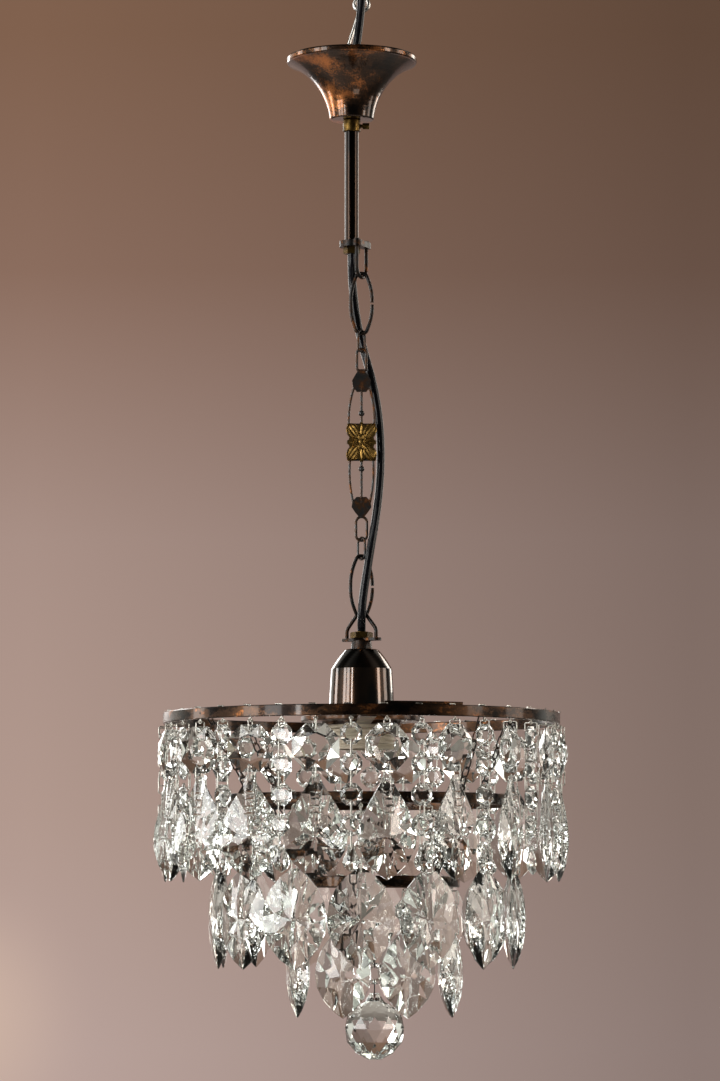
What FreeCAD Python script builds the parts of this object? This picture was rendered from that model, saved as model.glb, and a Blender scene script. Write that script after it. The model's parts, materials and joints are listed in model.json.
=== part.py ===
"""Small crystal pendant chandelier: ceiling canopy, stem, link chain, lampholder and three tiers of crystals.

Millimetres, +Z up. Heights below are counted from the mid-height of the top hoop; save() moves everything
so that the origin is the bearing point of the hanging wire's eye. Azimuths run from the front (-Y) to +X.
"""
import FreeCAD, Part
import math
import os

V = FreeCAD.Vector
UP = V(0, 0, 1)
CENTRE = V(0, 0, 0)

# ---------------------------------------------------------------- driving dimensions
EYE_HEIGHT = 483.5          # hanging eye above the top hoop
GAP = 0.05                  # clearance between pieces that sit on each other's wires and shanks
BODY_GAP = 0.25             # clearance between two loops that move

# ceiling canopy, collar and stem
STEM_X = -6.5               # the stem stands this far to one side of the chain
STEM_R, STEM_BORE_R = 4.65, 3.5
STEM_TOP, STEM_FOOT = 412.0, 319.0
CANOPY_RIM, CANOPY_RIM_R, CANOPY_RIM_H = 443.5, 43.5, 4.4
CANOPY_FOOT, CANOPY_FOOT_R = 401.0, 14.8
CANOPY_WALL = 1.0
COLLAR_H, COLLAR_R = 8.0, 5.9
SLIDE_CLEARANCE = 0.08      # collar and canopy on the stem
THUMBSCREW_R, THUMBSCREW_THREAD_R, THUMBSCREW_REACH = 2.1, 1.1, 10.5

# hanging wire and the two bails on the stem
HANGER_WIRE_R = 1.2
BAIL_WIRE_R = 1.25
UPPER_BAIL_BASE = 294.65    # centre of the wire at the bottom of the upper bail
UPPER_BAIL_HALF, UPPER_BAIL_TURN, UPPER_BAIL_X = 7.5, 65.0, 0.0
FOOT_PLATE_R, FOOT_THICK, NUT_H, NUT_FLATS = 8.2, 4.0, 4.5, 9.8
TOP_NUT_H, TOP_PLATE_THICK, TOP_BAIL_HALF, TOP_BAIL_CROWN = 3.2, 1.6, 6.5, 434.5
HANGER_FOOT_X, HANGER_FOOT_R, HANGER_EYE_R = -15.0, 3.4, 3.6
CORD_R = 2.75
CORD_HOLE_R = 3.1
CORD_ARC_SHARE = 0.45

# chain: each wire size, width and height
LINK_WIRE_R, LINK_LONG, LINK_WIDE, LINK_OPENING = 1.2, 43.0, 16.6, 1.5
LINK_TIP, LINK_TIP_BEND, LINK_SIDE_BEND = 2.9, 4.0, 36.0
LOWER_LINK_TURN, LOWER_LINK_WIDE = 25.0, 18.3
PALMETTE_THICK = 1.6
RING_WIRE_R, RING_LONG, RING_WIDE, RING_TURN = 0.8, 16.0, 9.0, 52.0
ORNATE_LONG, ORNATE_WIRE_R, ORNATE_ROD_R = 130.0, 0.9, 0.85
ROSETTE_WIDE, ROSETTE_TALL, ROSETTE_THICK = 20.8, 28.5, 2.6

# lampholder
CAP_BASE, CAP_TOP, CAP_R, CAP_WALL = 2.0, 46.0, 21.9, 1.1
HOLDER_R, HOLDER_FOOT = 20.3, -20.0
THREAD_R, SHELL_WALL, SHELL_TOP = 13.3, 0.5, 8.0
DISC_R, DISC_THICK = 40.0, 3.8
STRAP_WIDE, STRAP_THICK = 10.0, 2.4
LOWER_BAIL_BASE_W, LOWER_BAIL_TURN, LOWER_NUT_TOP, LOWER_NUT_H = 26.0, -35.0, 57.4, 3.9
NIPPLE_R, BLOCK_TOP = 4.4, 20.0
STRAP_AZIMUTH, BALL_BAR_AZIMUTH, BALL_BAR_W = 2.0, 0.0, 6.0

# hoops: outer radius and height of the mid-plane; the lower two hang off to the right by their own amounts
HOOP_HIGH, HOOP_THICK, HOOP_CHAMFER = 7.25, 3.0, 0.5
TOP_HOOP_R, TOP_HOOP_Z = 131.0, 0.0
MIDDLE_HOOP_R, MIDDLE_HOOP_Z, MIDDLE_HOOP_X = 100.0, -54.0, 3.5
BOTTOM_HOOP_R, BOTTOM_HOOP_Z, BOTTOM_HOOP_X = 56.0, -107.0, 8.5
LAP_START, LAP_END, LAP_THICK, LAP_RISE = 6.5, 30.0, 1.4, 2.0

# drop chains
CHAIN_WIRE_R, CHAIN_LINK_W, CHAIN_PITCH = 0.5, 5.5, 7.3
CHAIN_AZIMUTHS = (-52, 38, 128, 218)
LOWER_CHAIN_SHIFT = 10.0
EYE_R, EYE_WIRE_R, RIVET_R = 1.9, 0.6, 2.2

# crystals: size and first azimuth of each ring of strings
BEAD, BEAD_THICK, BEAD_HOLE_IN = 14.0, 5.4, 3.0
OCTAGON, OCTAGON_THICK, OCTAGON_HOLE_IN = 30.0, 8.0, 4.3
CRYSTAL_HOLE_R, STAR_HOLE_IN, DROP_HOLE_IN, BALL_HOLE = 0.8, 3.4, 2.8, 21.0
BALL_CLIP_TALL = 7.0
CLIP_WIRE_R, CLIP_BEND_R, CLIP_HALF, BALL_CLIP_HALF, PIN_BEND_R = 0.4, 1.1, 4.4, 5.5, 0.43
PIN_BAR = 4.5
NOTCH, NOTCH_WIDE, NOTCH_HEIGHTS = 1.5, 7.0, (-11.0, -15.5, -20.0, -24.5)
TIER1_COUNT, TIER1_LARGE_FROM, TIER1_SMALL_FROM, TIER1_LARGE_TURN = 18, 7.1, -2.9, 18.0
TIER2_COUNT, TIER2_FROM, TIER2_TURN = 14, -2.3, 8.0
TIER3_COUNT, TIER3_FROM = 8, -22.0
LARGE_TOP, PENDELOQUE_TOP = -8.5, -40.4
SMALL_TOP, SMALL_PITCH, SMALL_BEADS, DROP_TOP = -8.0, 19.1, 4, -84.4
TIER2_TOP, OVAL_TOP = -62.5, -99.0
TIER3_TOP, ALMOND_TOP = -119.0, -138.0
BALL_CENTRE, BALL_BEAD_TOP = -203.3, -160.0

# flex: points on its route, x, y and height
CORD_IN_CHAIN = [
    (-6.5, 0.0, 312.0), (-6.5, 0.0, 305.5), (-6.4, 2.4, 298.8), (-6.1, 4.9, 291.5), (-5.2, 5.8, 283),
    (-4.2, 5.7, 274), (-2.4, 6.3, 263), (0.4, 7.1, 251), (3.6, 6.7, 239), (7.0, 5.8, 227), (9.9, 5.4, 213),
    (11.9, 5.5, 198), (12.9, 5.2, 182), (12.7, 4.6, 165), (11.4, 2.8, 148), (9.2, -1.0, 131),
    (6.4, -4.9, 115), (4.2, -6.4, 101), (2.4, -6.9, 90), (1.0, -7.0, 80), (0.3, -6.9, 72.5),
    (0.0, -5.3, 65.3), (0.0, 0.0, 57.8), (0.0, 0.0, 51.0),
]
CORD_TAIL = [
    (-6.5, 0.0, 414.5), (-6.5, 0.0, 421.5), (-6.35, -2.2, 428.3), (-5.5, -5.4, 435.5), (-4.2, -7.7, 444.5),
    (-2.6, -8.8, 455), (-1.1, -8.9, 466.5), (-0.1, -8.0, 478.5), (0.35, -6.4, 490.5), (0.4, -5.0, 501),
    (0.4, -5.0, 511),
]
TERMINAL_BLOCK = (14.0, 9.0, 20.0)

NODES = []


# ---------------------------------------------------------------- helpers
def save(name, *solids, x=0.0):
    """Write one node, with its pieces as separate solids, moved sideways by x."""
    shape = solids[0].copy() if len(solids) == 1 else Part.makeCompound(list(solids))
    shape.translate(V(x, 0, -EYE_HEIGHT))
    shape.exportStep("parts/%s.step" % name)
    NODES.append(name)


def turned(profile, x=0.0):
    """A solid of revolution about a vertical axis; profile edges join (radius, height) points."""
    points = [V(r, 0, z) for r, z in profile]
    face = Part.Face(Part.makePolygon(points + points[:1]))
    solid = face.revolve(CENTRE, UP, 360)
    solid.translate(V(x, 0, 0))
    return solid


def arc_points(start, middle, end, count):
    """count + 1 points (radius, height) along the arc through three points."""
    arc = Part.Arc(V(start[0], 0, start[1]), V(middle[0], 0, middle[1]), V(end[0], 0, end[1]))
    return [(p.x, p.z) for p in arc.discretize(count + 1)]


def rod(start, end, r):
    run = end - start
    return Part.makeCylinder(r, run.Length, start, run)


def bar_round(points, radii, r, closed=False):
    """Round wire of radius r along straight runs joined by tangent arcs; returns the solid and its length."""
    n = len(points)
    corners = range(n) if closed else range(1, n - 1)
    leave, arrive = {i: points[i] for i in range(n)}, {i: points[i] for i in range(n)}
    pieces, length = [], 0.0
    for i in corners:
        before, here, after = points[i - 1], points[i], points[(i + 1) % n]
        a, b = (before - here).normalize(), (after - here).normalize()
        half = (math.pi - a.getAngle(b)) / 2
        back = radii[i] * math.tan(half)
        arrive[i], leave[i] = here + a * back, here + b * back
        centre = here + (a + b).normalize() * (radii[i] / math.cos(half))
        axis = b.cross(a)
        disc = Part.Face(Part.Wire(Part.makeCircle(r, arrive[i], a)))
        pieces.append(disc.revolve(centre, axis, math.degrees(2 * half)))
        length += radii[i] * 2 * half
    for i in range(n if closed else n - 1):
        j = (i + 1) % n
        run = (arrive[j] - leave[i]).Length
        length += run
        if run > 1e-4:
            pieces.append(rod(leave[i], arrive[j], r))
    solid = pieces[0].multiFuse(pieces[1:]) if len(pieces) > 1 else pieces[0]
    return solid.Solids[0], length


def loop(width, height, r, bend=None):
    """Upright oval loop of wire in the XZ plane, centred on the origin; sizes are outside sizes."""
    bend = bend or width / 2 - r
    x, z = width / 2 - r, height / 2 - r
    corner = [V(x, 0, z), V(-x, 0, z), V(-x, 0, -z), V(x, 0, -z)]
    return bar_round(corner, [min(bend, x - 1e-3)] * 4, r, closed=True)[0]


def placed(shape, offset=CENTRE, turn=0.0):
    """A copy turned about the vertical axis and then moved."""
    copy = shape.copy()
    copy.Placement = FreeCAD.Placement(offset, FreeCAD.Rotation(UP, turn)).multiply(shape.Placement)
    return copy


def around(shape, azimuths):
    """Copies of a shape that stands at the front, one at each azimuth."""
    return [placed(shape, turn=a) for a in azimuths]


def ring_of(count, first):
    return [first + 360.0 / count * k for k in range(count)]


def at_azimuth(radius, azimuth, z):
    a = math.radians(azimuth)
    return V(radius * math.sin(a), -radius * math.cos(a), z)


def polyhedron(faces):
    shell = Part.makeShell([Part.Face(Part.makePolygon(list(f) + [f[0]])) for f in faces])
    shell.sewShape()
    solid = Part.makeSolid(shell)
    if solid.Volume < 0:
        solid.reverse()
    return solid


def drilled(solid, *heights):
    """Cross holes along Y at the given heights on the centre line."""
    for z in heights:
        solid = solid.cut(Part.makeCylinder(CRYSTAL_HOLE_R, 40, V(0, -20, z), V(0, 1, 0)))
    return solid.Solids[0]


# ---------------------------------------------------------------- cut glass
def octagon_crystal(size, thick, hole_in, both_ends):
    """Octagon with its top edge at z = 0, a table on each face and two rows of triangular facets."""
    rim_r, table_r, edge = size / 2 / math.cos(math.pi / 8), size * 0.29, 0.9
    middle = -size / 2

    def ring(radius, y, phase):
        return [V(radius * math.sin(math.radians(45 * k + phase)), y,
                  middle + radius * math.cos(math.radians(45 * k + phase))) for k in range(8)]

    faces = []
    for side in (-1, 1):
        rim, table = ring(rim_r, side * edge / 2, 22.5), ring(table_r, side * thick / 2, 0)
        faces.append(table)
        for k in range(8):
            faces.append((rim[k - 1], rim[k], table[k]))
            faces.append((table[k], rim[k], table[(k + 1) % 8]))
    front, back = ring(rim_r, -edge / 2, 22.5), ring(rim_r, edge / 2, 22.5)
    faces += [(front[k - 1], front[k], back[k], back[k - 1]) for k in range(8)]
    holes = [-hole_in] + ([hole_in - size] if both_ends else [])
    return drilled(polyhedron(faces), *holes)


def star_crystal(half_outline, star_z, thick, hole_in, inner=0.42, outer=0.62):
    """Flat drop with a pointed outline and a star cut on each face; half_outline runs from top to bottom."""
    edge = 0.5
    right = [V(x, 0, z) for x, z in half_outline]
    left = [V(-x, 0, z) for x, z in reversed(half_outline) if x > 0]
    outline = right + left
    n = len(outline)
    faces = []
    for side in (-1, 1):
        rim = [p + V(0, side * edge, 0) for p in outline]
        hub = V(0, side * thick / 2, star_z)
        star = []
        for k in range(n):
            middle = (outline[k] + outline[(k + 1) % n]) * 0.5
            reach = inner if k % 2 else outer
            depth = thick / 2 - (thick / 2 - edge) * reach * 0.8
            star.append(V(0, side * depth, star_z) + (middle - V(0, 0, star_z)) * reach)
        for k in range(n):
            faces.append((rim[k], rim[(k + 1) % n], star[k]))
            faces.append((star[k - 1], rim[k], star[k]))
            faces.append((star[k - 1], star[k], hub))
    for k in range(n):
        a, b = outline[k], outline[(k + 1) % n]
        low, high = V(0, -edge, 0), V(0, edge, 0)
        faces.append((a + low, b + low, b + high, a + high))
    return drilled(polyhedron(faces), -hole_in)


def turned_crystal(levels, sides, hole_z):
    """Faceted drop about the vertical axis from (height, radius) levels, each a half step round."""
    rings = []
    for k, (z, r) in enumerate(levels):
        step, phase = 360.0 / sides, 180.0 / sides * (k % 2)
        angles = [math.radians(step * i + phase) for i in range(sides)]
        rings.append([V(r * math.cos(a), r * math.sin(a), z) for a in angles])
    faces = [rings[0], rings[-1]]
    for k in range(len(rings) - 1):
        low, high, shift = rings[k], rings[k + 1], k % 2
        for i in range(sides):
            near = (i + shift) % sides
            faces.append((low[i], low[(i + 1) % sides], high[near]))
            faces.append((high[(near - 1) % sides], high[near], low[i]))
    return drilled(polyhedron(faces), hole_z)


def notched(solid):
    """A column of small grooves across the front ridge, above the star."""
    for z in NOTCH_HEIGHTS:
        ridge = solid.common(Part.makeBox(0.2, 20, 0.1, V(-0.1, -20, z))).BoundBox.YMin
        groove = Part.makeBox(NOTCH_WIDE, NOTCH, NOTCH, V(-NOTCH_WIDE / 2, -NOTCH / 2, -NOTCH / 2))
        groove.rotate(CENTRE, V(1, 0, 0), 45)
        groove.translate(V(0, ridge - 0.15, z))
        solid = solid.cut(groove)
    return solid.Solids[0]


def pendeloque():
    half = [(2.4, 0), (4.6, -6), (9.0, -13), (14.0, -21), (18.3, -30), (20.4, -38.5), (19.4, -46.5),
            (14.0, -56), (6.8, -62.5), (0.0, -66.5)]
    return notched(star_crystal(half, -39.0, 10.0, STAR_HOLE_IN))


def oval():
    half = [(2.2, 0), (9.5, -5.5), (15.8, -12.5), (20.0, -21), (21.8, -31), (20.8, -41), (16.4, -50),
            (9.2, -58.5), (0.0, -64.5)]
    return star_crystal(half, -33.0, 10.5, STAR_HOLE_IN)


def almond():
    half = [(2.2, 0), (8.4, -5.5), (13.8, -12), (17.8, -20), (19.4, -28.5), (18.2, -37), (13.8, -45),
            (6.6, -52.5), (0.0, -57.0)]
    return star_crystal(half, -30.0, 10.0, STAR_HOLE_IN)


def drop():
    half = [(1.9, 0), (2.6, -4.2), (4.7, -8.4), (5.6, -11.6), (4.0, -15.2), (0.0, -17.6)]
    return star_crystal(half, -11.0, 6.0, DROP_HOLE_IN)


def clip(top, bottom, half=CLIP_HALF):
    """Flat wire loop that joins two cross holes at x = y = 0, given the heights of its wire centres."""
    shape = loop(2 * (half + CLIP_WIRE_R), top - bottom + 2 * CLIP_WIRE_R, CLIP_WIRE_R, CLIP_BEND_R)
    shape.rotate(CENTRE, UP, 90)
    shape.translate(V(0, 0, (top + bottom) / 2))
    return shape


def pin(hoop_z, hole_z):
    """Pin through a hoop, a bent bar on top and an eye below, and the loop that carries a crystal's hole."""
    top = hoop_z + HOOP_HIGH / 2 + CLIP_WIRE_R + GAP
    eye_r = CLIP_WIRE_R * 2 + BODY_GAP
    eye_z = hoop_z - HOOP_HIGH / 2 - eye_r - CLIP_WIRE_R - 0.4
    path = [V(-PIN_BAR, 0, top), V(0, 0, top), V(0, 0, eye_z + eye_r - 0.1)]
    shank = bar_round(path, [0, PIN_BEND_R, 0], CLIP_WIRE_R)[0]
    eye = Part.makeTorus(eye_r, CLIP_WIRE_R, V(0, 0, eye_z), V(0, 1, 0))
    carrier = clip(eye_z - eye_r + 2 * CLIP_WIRE_R + GAP, hole_z)
    return [shank.fuse(eye).Solids[0], carrier]


# ---------------------------------------------------------------- canopy, stem and hanging wire
def canopy():
    band = CANOPY_RIM - CANOPY_RIM_H
    lower_end = (CANOPY_FOOT_R, CANOPY_FOOT + 0.8)
    flare = arc_points((CANOPY_RIM_R - 1.6, band), (22.4, band - 16.5), lower_end, 14)
    inside = [(r - CANOPY_WALL, z + 0.5) for r, z in reversed(flare[1:-1])]
    hole = STEM_R + SLIDE_CLEARANCE + 0.25
    rim = [(CANOPY_RIM_R - 1.9, CANOPY_RIM - 0.8), (CANOPY_RIM_R - 1.1, CANOPY_RIM),
           (CANOPY_RIM_R - 0.5, CANOPY_RIM - 0.2), (CANOPY_RIM_R, CANOPY_RIM - 1.2),
           (CANOPY_RIM_R, band + 1.0), (CANOPY_RIM_R - 0.6, band + 0.1)]
    foot = [(CANOPY_FOOT_R - 0.8, CANOPY_FOOT), (hole, CANOPY_FOOT), (hole, CANOPY_FOOT + CANOPY_WALL),
            (CANOPY_FOOT_R - CANOPY_WALL - 0.6, CANOPY_FOOT + CANOPY_WALL)]
    save("ceiling_canopy", turned(rim + flare + foot + inside + [(CANOPY_RIM_R - 2.7, band + 0.6)], STEM_X))


def collar():
    top, bottom = CANOPY_FOOT - GAP, CANOPY_FOOT - GAP - COLLAR_H
    bore = STEM_R + SLIDE_CLEARANCE
    body = turned([(bore, bottom), (COLLAR_R - 0.5, bottom), (COLLAR_R, bottom + 0.5), (COLLAR_R, top - 0.5),
                   (COLLAR_R - 0.5, top), (bore, top)], STEM_X)
    middle = (top + bottom) / 2
    hole_r = THUMBSCREW_THREAD_R + GAP
    save("canopy_collar", body.cut(Part.makeCylinder(hole_r, 12, V(STEM_X, 0, middle), V(1, 0, 0))).Solids[0])
    tip = STEM_X + STEM_R + GAP
    thread = Part.makeCylinder(THUMBSCREW_THREAD_R, THUMBSCREW_REACH - STEM_R, V(tip, 0, middle), V(1, 0, 0))
    knob_x = STEM_X + COLLAR_R + 1.2
    knob = Part.makeCylinder(THUMBSCREW_R, 4.6, V(knob_x, 0, middle), V(1, 0, 0))
    knob = knob.makeFillet(0.4, knob.Edges[:1] + knob.Edges[2:])
    for k in range(10):
        a = math.radians(36 * k)
        groove = V(knob_x, THUMBSCREW_R * math.cos(a), middle + THUMBSCREW_R * math.sin(a))
        knob = knob.cut(Part.makeCylinder(0.28, 4.6, groove, V(1, 0, 0)))
    save("collar_thumbscrew", thread.fuse(knob).Solids[0])


def nut(bottom, height, flats, bore, x=0.0):
    corner_r = flats / math.sqrt(3)
    angles = [math.radians(60 * k) for k in range(6)]
    hexagon = [V(x + corner_r * math.cos(a), corner_r * math.sin(a), bottom) for a in angles]
    prism = Part.Face(Part.makePolygon(hexagon + hexagon[:1])).extrude(V(0, 0, height))
    dome = turned([(0, bottom), (corner_r - 0.7, bottom), (corner_r + 0.1, bottom + 0.5),
                   (corner_r + 0.1, bottom + height - 0.5), (corner_r - 0.7, bottom + height),
                   (0, bottom + height)], x)
    return prism.common(dome).cut(Part.makeCylinder(bore, height, V(x, 0, bottom))).Solids[0]


def stem():
    wall = [(STEM_BORE_R, STEM_FOOT), (STEM_R, STEM_FOOT), (STEM_R, STEM_TOP), (STEM_BORE_R, STEM_TOP)]
    tube = turned(wall, STEM_X)
    save("stem_tube", tube)
    foot = STEM_FOOT - GAP
    save("upper_nut", nut(foot - FOOT_THICK - GAP - NUT_H, NUT_H, NUT_FLATS, CORD_HOLE_R, STEM_X))


def upper_bails():
    """The bail under the stem carries the chain; the one over the stem is held by the hanging wire."""
    plate_top = STEM_FOOT - GAP
    plate_foot = plate_top - FOOT_THICK
    turn = math.radians(UPPER_BAIL_TURN)
    half, base = UPPER_BAIL_HALF, UPPER_BAIL_BASE
    along, middle = V(math.cos(turn), math.sin(turn), 0), V(UPPER_BAIL_X, 0, 0)
    right, left = middle + along * half, middle - along * half
    head_r = BAIL_WIRE_R + 0.8
    leg_top = plate_top + 0.4
    path = [right + UP * leg_top, right + UP * base, left + UP * base, left + UP * leg_top]
    bail = bar_round(path, [0, half - 0.01, half - 0.01, 0], BAIL_WIRE_R)[0]
    for leg in (right, left):
        bail = bail.fuse(Part.makeCylinder(head_r, 1.0, leg + UP * (plate_top + GAP)))
    save("upper_bail", bail.Solids[0])

    disc = Part.makeCylinder(FOOT_PLATE_R, FOOT_THICK, V(STEM_X, 0, plate_foot))
    ear = Part.makeCylinder(head_r + 1.0, FOOT_THICK)
    strip = Part.makeBox(2 * half, 2 * head_r + 2.0, FOOT_THICK, V(-half, -head_r - 1.0, 0))
    strip = placed(strip, middle + UP * plate_foot, UPPER_BAIL_TURN)
    plate = disc.multiFuse([strip] + [placed(ear, leg + UP * plate_foot) for leg in (right, left)])
    for leg in (right, left):
        plate = plate.cut(Part.makeCylinder(BAIL_WIRE_R + GAP, FOOT_THICK, leg + UP * plate_foot))
    plate = plate.cut(Part.makeCylinder(CORD_HOLE_R, FOOT_THICK, V(STEM_X, 0, plate_foot)))
    save("stem_foot", plate.removeSplitter().Solids[0])

    # the upper bail's two legs stand in the top nut's flange, and its crown leans to the hanging wire
    nut_top = STEM_TOP + GAP + TOP_NUT_H
    flange = nut_top + GAP + TOP_PLATE_THICK
    legs = [V(STEM_X + side * TOP_BAIL_HALF, 0, nut_top + GAP) for side in (1, -1)]
    crown = [V(STEM_X + 1.0, 0, TOP_BAIL_CROWN), V(HANGER_FOOT_X - 6.5, 0, TOP_BAIL_CROWN)]
    path = [legs[0], legs[0] + UP * 9, crown[0], crown[1], legs[1] + UP * 7, legs[1]]
    bail = bar_round(path, [0, 4, 3.4, 2.2, 2, 0], BAIL_WIRE_R)[0]
    save("top_bail", bail)
    plate = turned([(CORD_HOLE_R, nut_top + GAP), (TOP_BAIL_HALF + 3, nut_top + GAP),
                    (TOP_BAIL_HALF + 3, flange), (CORD_HOLE_R, flange)], STEM_X)
    for leg in legs:
        plate = plate.cut(Part.makeCylinder(BAIL_WIRE_R + GAP, TOP_PLATE_THICK, leg))
    save("top_fixings", plate, nut(STEM_TOP + GAP, TOP_NUT_H, 12.0, CORD_HOLE_R, STEM_X))


def hanging_wire():
    """Straight wire with a closed eye at each end: round the top bail's crown, and for the ceiling hook."""
    top_centre = V(0, 0, EYE_HEIGHT - HANGER_WIRE_R - HANGER_EYE_R + HANGER_WIRE_R)
    under_crown = V(HANGER_FOOT_X, 0, TOP_BAIL_CROWN - BAIL_WIRE_R - HANGER_WIRE_R - GAP)
    run = (top_centre - under_crown).normalize()
    foot_centre = under_crown + run * HANGER_FOOT_R
    top_eye = Part.makeTorus(HANGER_EYE_R + HANGER_WIRE_R, HANGER_WIRE_R, top_centre, V(0, 1, 0))
    foot_eye = Part.makeTorus(HANGER_FOOT_R, HANGER_WIRE_R, foot_centre, run.cross(V(0, 1, 0)))
    straight = rod(foot_centre + run * HANGER_FOOT_R, top_centre - run * (HANGER_EYE_R + HANGER_WIRE_R),
                   HANGER_WIRE_R)
    save("hanging_wire", straight.multiFuse([top_eye, foot_eye]).Solids[0])


# ---------------------------------------------------------------- chain
def open_link(top, link_wide, turn=0.0):
    """Pointed oval link with a gap at the middle of its right side; top is its highest point."""
    r, wide, tall, tip = LINK_WIRE_R, link_wide / 2 - LINK_WIRE_R, LINK_LONG / 2 - LINK_WIRE_R, LINK_TIP
    shoulder = tall * 0.42
    corner = [V(tip, 0, tall), V(-tip, 0, tall), V(-wide, 0, shoulder), V(-wide, 0, -shoulder),
              V(-tip, 0, -tall), V(tip, 0, -tall), V(wide, 0, -shoulder), V(wide, 0, shoulder)]
    bends = ([LINK_TIP_BEND] * 2 + [LINK_SIDE_BEND] * 2) * 2
    link = bar_round(corner, bends, r, closed=True)[0]
    gap = Part.makeBox(8, 8, LINK_OPENING, V(wide - 4, -4, -LINK_OPENING / 2))
    return placed(link.cut(gap).Solids[0], V(0, 0, top - LINK_LONG / 2), turn)


def jump_ring(top, turn):
    ring = loop(RING_WIDE, RING_LONG, RING_WIRE_R)
    return placed(ring, V(0, 0, top - RING_LONG / 2), turn)


def chain_levels():
    """Highest point of each member of the chain, each one hanging in the one above."""
    levels = {"upper_link": UPPER_BAIL_BASE + BAIL_WIRE_R + 2 * LINK_WIRE_R + BODY_GAP}
    members = [("upper_link", LINK_LONG, LINK_WIRE_R), ("upper_jump_ring", RING_LONG, RING_WIRE_R),
               ("ornate_link", ORNATE_LONG, ORNATE_WIRE_R), ("lower_jump_ring", RING_LONG, RING_WIRE_R),
               ("lower_link", LINK_LONG, LINK_WIRE_R), ("lower_bail", 0, BAIL_WIRE_R)]
    for (above, tall, r), (below, _, next_r) in zip(members, members[1:]):
        levels[below] = levels[above] - tall + 2 * r + 2 * next_r + BODY_GAP
    return levels


def bowed_rod(x_top, z_top, x_middle, x_bottom, z_bottom, r):
    """Rod along an arc in the XZ plane."""
    z_middle = (z_top + z_bottom) / 2
    arc = Part.Arc(V(x_top, 0, z_top), V(x_middle, 0, z_middle), V(x_bottom, 0, z_bottom))
    start = Part.Wire(Part.makeCircle(r, arc.value(arc.FirstParameter), arc.tangent(arc.FirstParameter)[0]))
    return Part.Wire(arc.toShape()).makePipeShell([start], True, False)


def palmette(z_low, z_high, wide, root_up):
    """Flat leaf plate that spreads from one rod end; root_up puts its narrow end at the top."""
    middle = (z_low + z_high) / 2
    half = wide / 2
    outline = [(1.6, 0.0), (half * 0.62, 0.22), (half, 0.5), (half * 0.9, 0.78), (half * 0.5, 1.0)]
    points = [V(x, -PALMETTE_THICK / 2, z_high - (z_high - z_low) * t) for x, t in outline]
    points += [V(-p.x, p.y, p.z) for p in reversed(points)]
    plate = Part.Face(Part.makePolygon(points + points[:1])).extrude(V(0, PALMETTE_THICK, 0))
    if not root_up:
        plate = plate.mirror(V(0, 0, middle), UP)
    return plate


def ornate_link(top):
    """Cast link: a loop at each end, leaf plates, three rods and a square rosette at the waist."""
    r, rod_r, bottom = ORNATE_WIRE_R, ORNATE_ROD_R, top - ORNATE_LONG
    upper_leaf, lower_leaf = (top - 29.8, top - 14.6), (bottom + 16.5, bottom + 30.0)
    top_loop = placed(loop(8.0, 17.2, r), V(0, 0, top - 8.6))
    low_loop = placed(loop(9.0, 17.6, r), V(0, 0, bottom + 8.8))
    square_top, square_foot = top - 49.2, top - 49.2 - ROSETTE_TALL
    pieces = [top_loop, low_loop, palmette(*upper_leaf, 12.6, True), palmette(*lower_leaf, 13.2, False)]
    for side in (-1, 1):
        pieces.append(bowed_rod(side * 5.0, upper_leaf[0] + 3, side * 7.9, side * 8.4, square_top - 3, rod_r))
        foot = lower_leaf[1] - 4
        pieces.append(bowed_rod(side * 7.6, square_foot + 3, side * 7.7, side * 5.4, foot, rod_r))
    pieces.append(rod(V(0, 0, lower_leaf[1] - 4), V(0, 0, upper_leaf[0] + 3), rod_r))
    for z in (square_top + 5.0, square_foot - 3.6):
        pieces.append(Part.makeSphere(2.0, V(0, 0, z)))
    frame = Part.makeBox(ROSETTE_WIDE - 3, 2 * rod_r, 1.8)
    for z in (square_top - 3.6, square_foot + 1.8):
        pieces.append(placed(frame, V(1.5 - ROSETTE_WIDE / 2, -rod_r, z)))
    save("ornate_link", pieces[0].multiFuse(pieces[1:]).Solids[0])
    save("ornate_rosettes", *rosettes(square_foot, square_top))


def rosettes(foot, top):
    """Front and back plates of the rosette, with ribbed fans at the corners and a domed centre."""
    middle, w, h = (foot + top) / 2, ROSETTE_WIDE / 2, ROSETTE_TALL / 2
    scallops = []
    for k in range(16):
        a = math.radians(22.5 * k + 11.25)
        stretch = 1 / max(abs(math.cos(a)) / w, abs(math.sin(a)) / h)
        scallops.append((stretch * math.cos(a), stretch * math.sin(a)))
    plate_back = ORNATE_ROD_R + GAP
    points = [V(x, -plate_back, middle + z) for x, z in scallops]
    plate = Part.Face(Part.makePolygon(points + points[:1])).extrude(V(0, -1.2, 0))
    raised = [plate]
    for k in range(8):
        a = math.radians(45 * k + 22.5)
        reach = 0.78 / max(abs(math.cos(a)) / w, abs(math.sin(a)) / h)
        petal = Part.makeCylinder(1.5, reach, V(0, 0, 0), V(math.cos(a), 0, math.sin(a)))
        raised.append(placed(petal, V(0, -plate_back - 1.0, middle)))
    boss = Part.makeSphere(5.2, V(0, -plate_back + 2.2, middle))
    front = raised[0].multiFuse(raised[1:] + [boss])
    front = front.cut(Part.makeBox(60, 40, 60, V(-30, -plate_back, middle - 30))).Solids[0]
    return front, front.mirror(CENTRE, V(0, 1, 0))


def chain(levels):
    save("upper_link", open_link(levels["upper_link"], LINK_WIDE))
    save("upper_jump_ring", jump_ring(levels["upper_jump_ring"], RING_TURN))
    ornate_link(levels["ornate_link"])
    save("lower_jump_ring", jump_ring(levels["lower_jump_ring"], -RING_TURN))
    save("lower_link", open_link(levels["lower_link"], LOWER_LINK_WIDE, LOWER_LINK_TURN))


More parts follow.
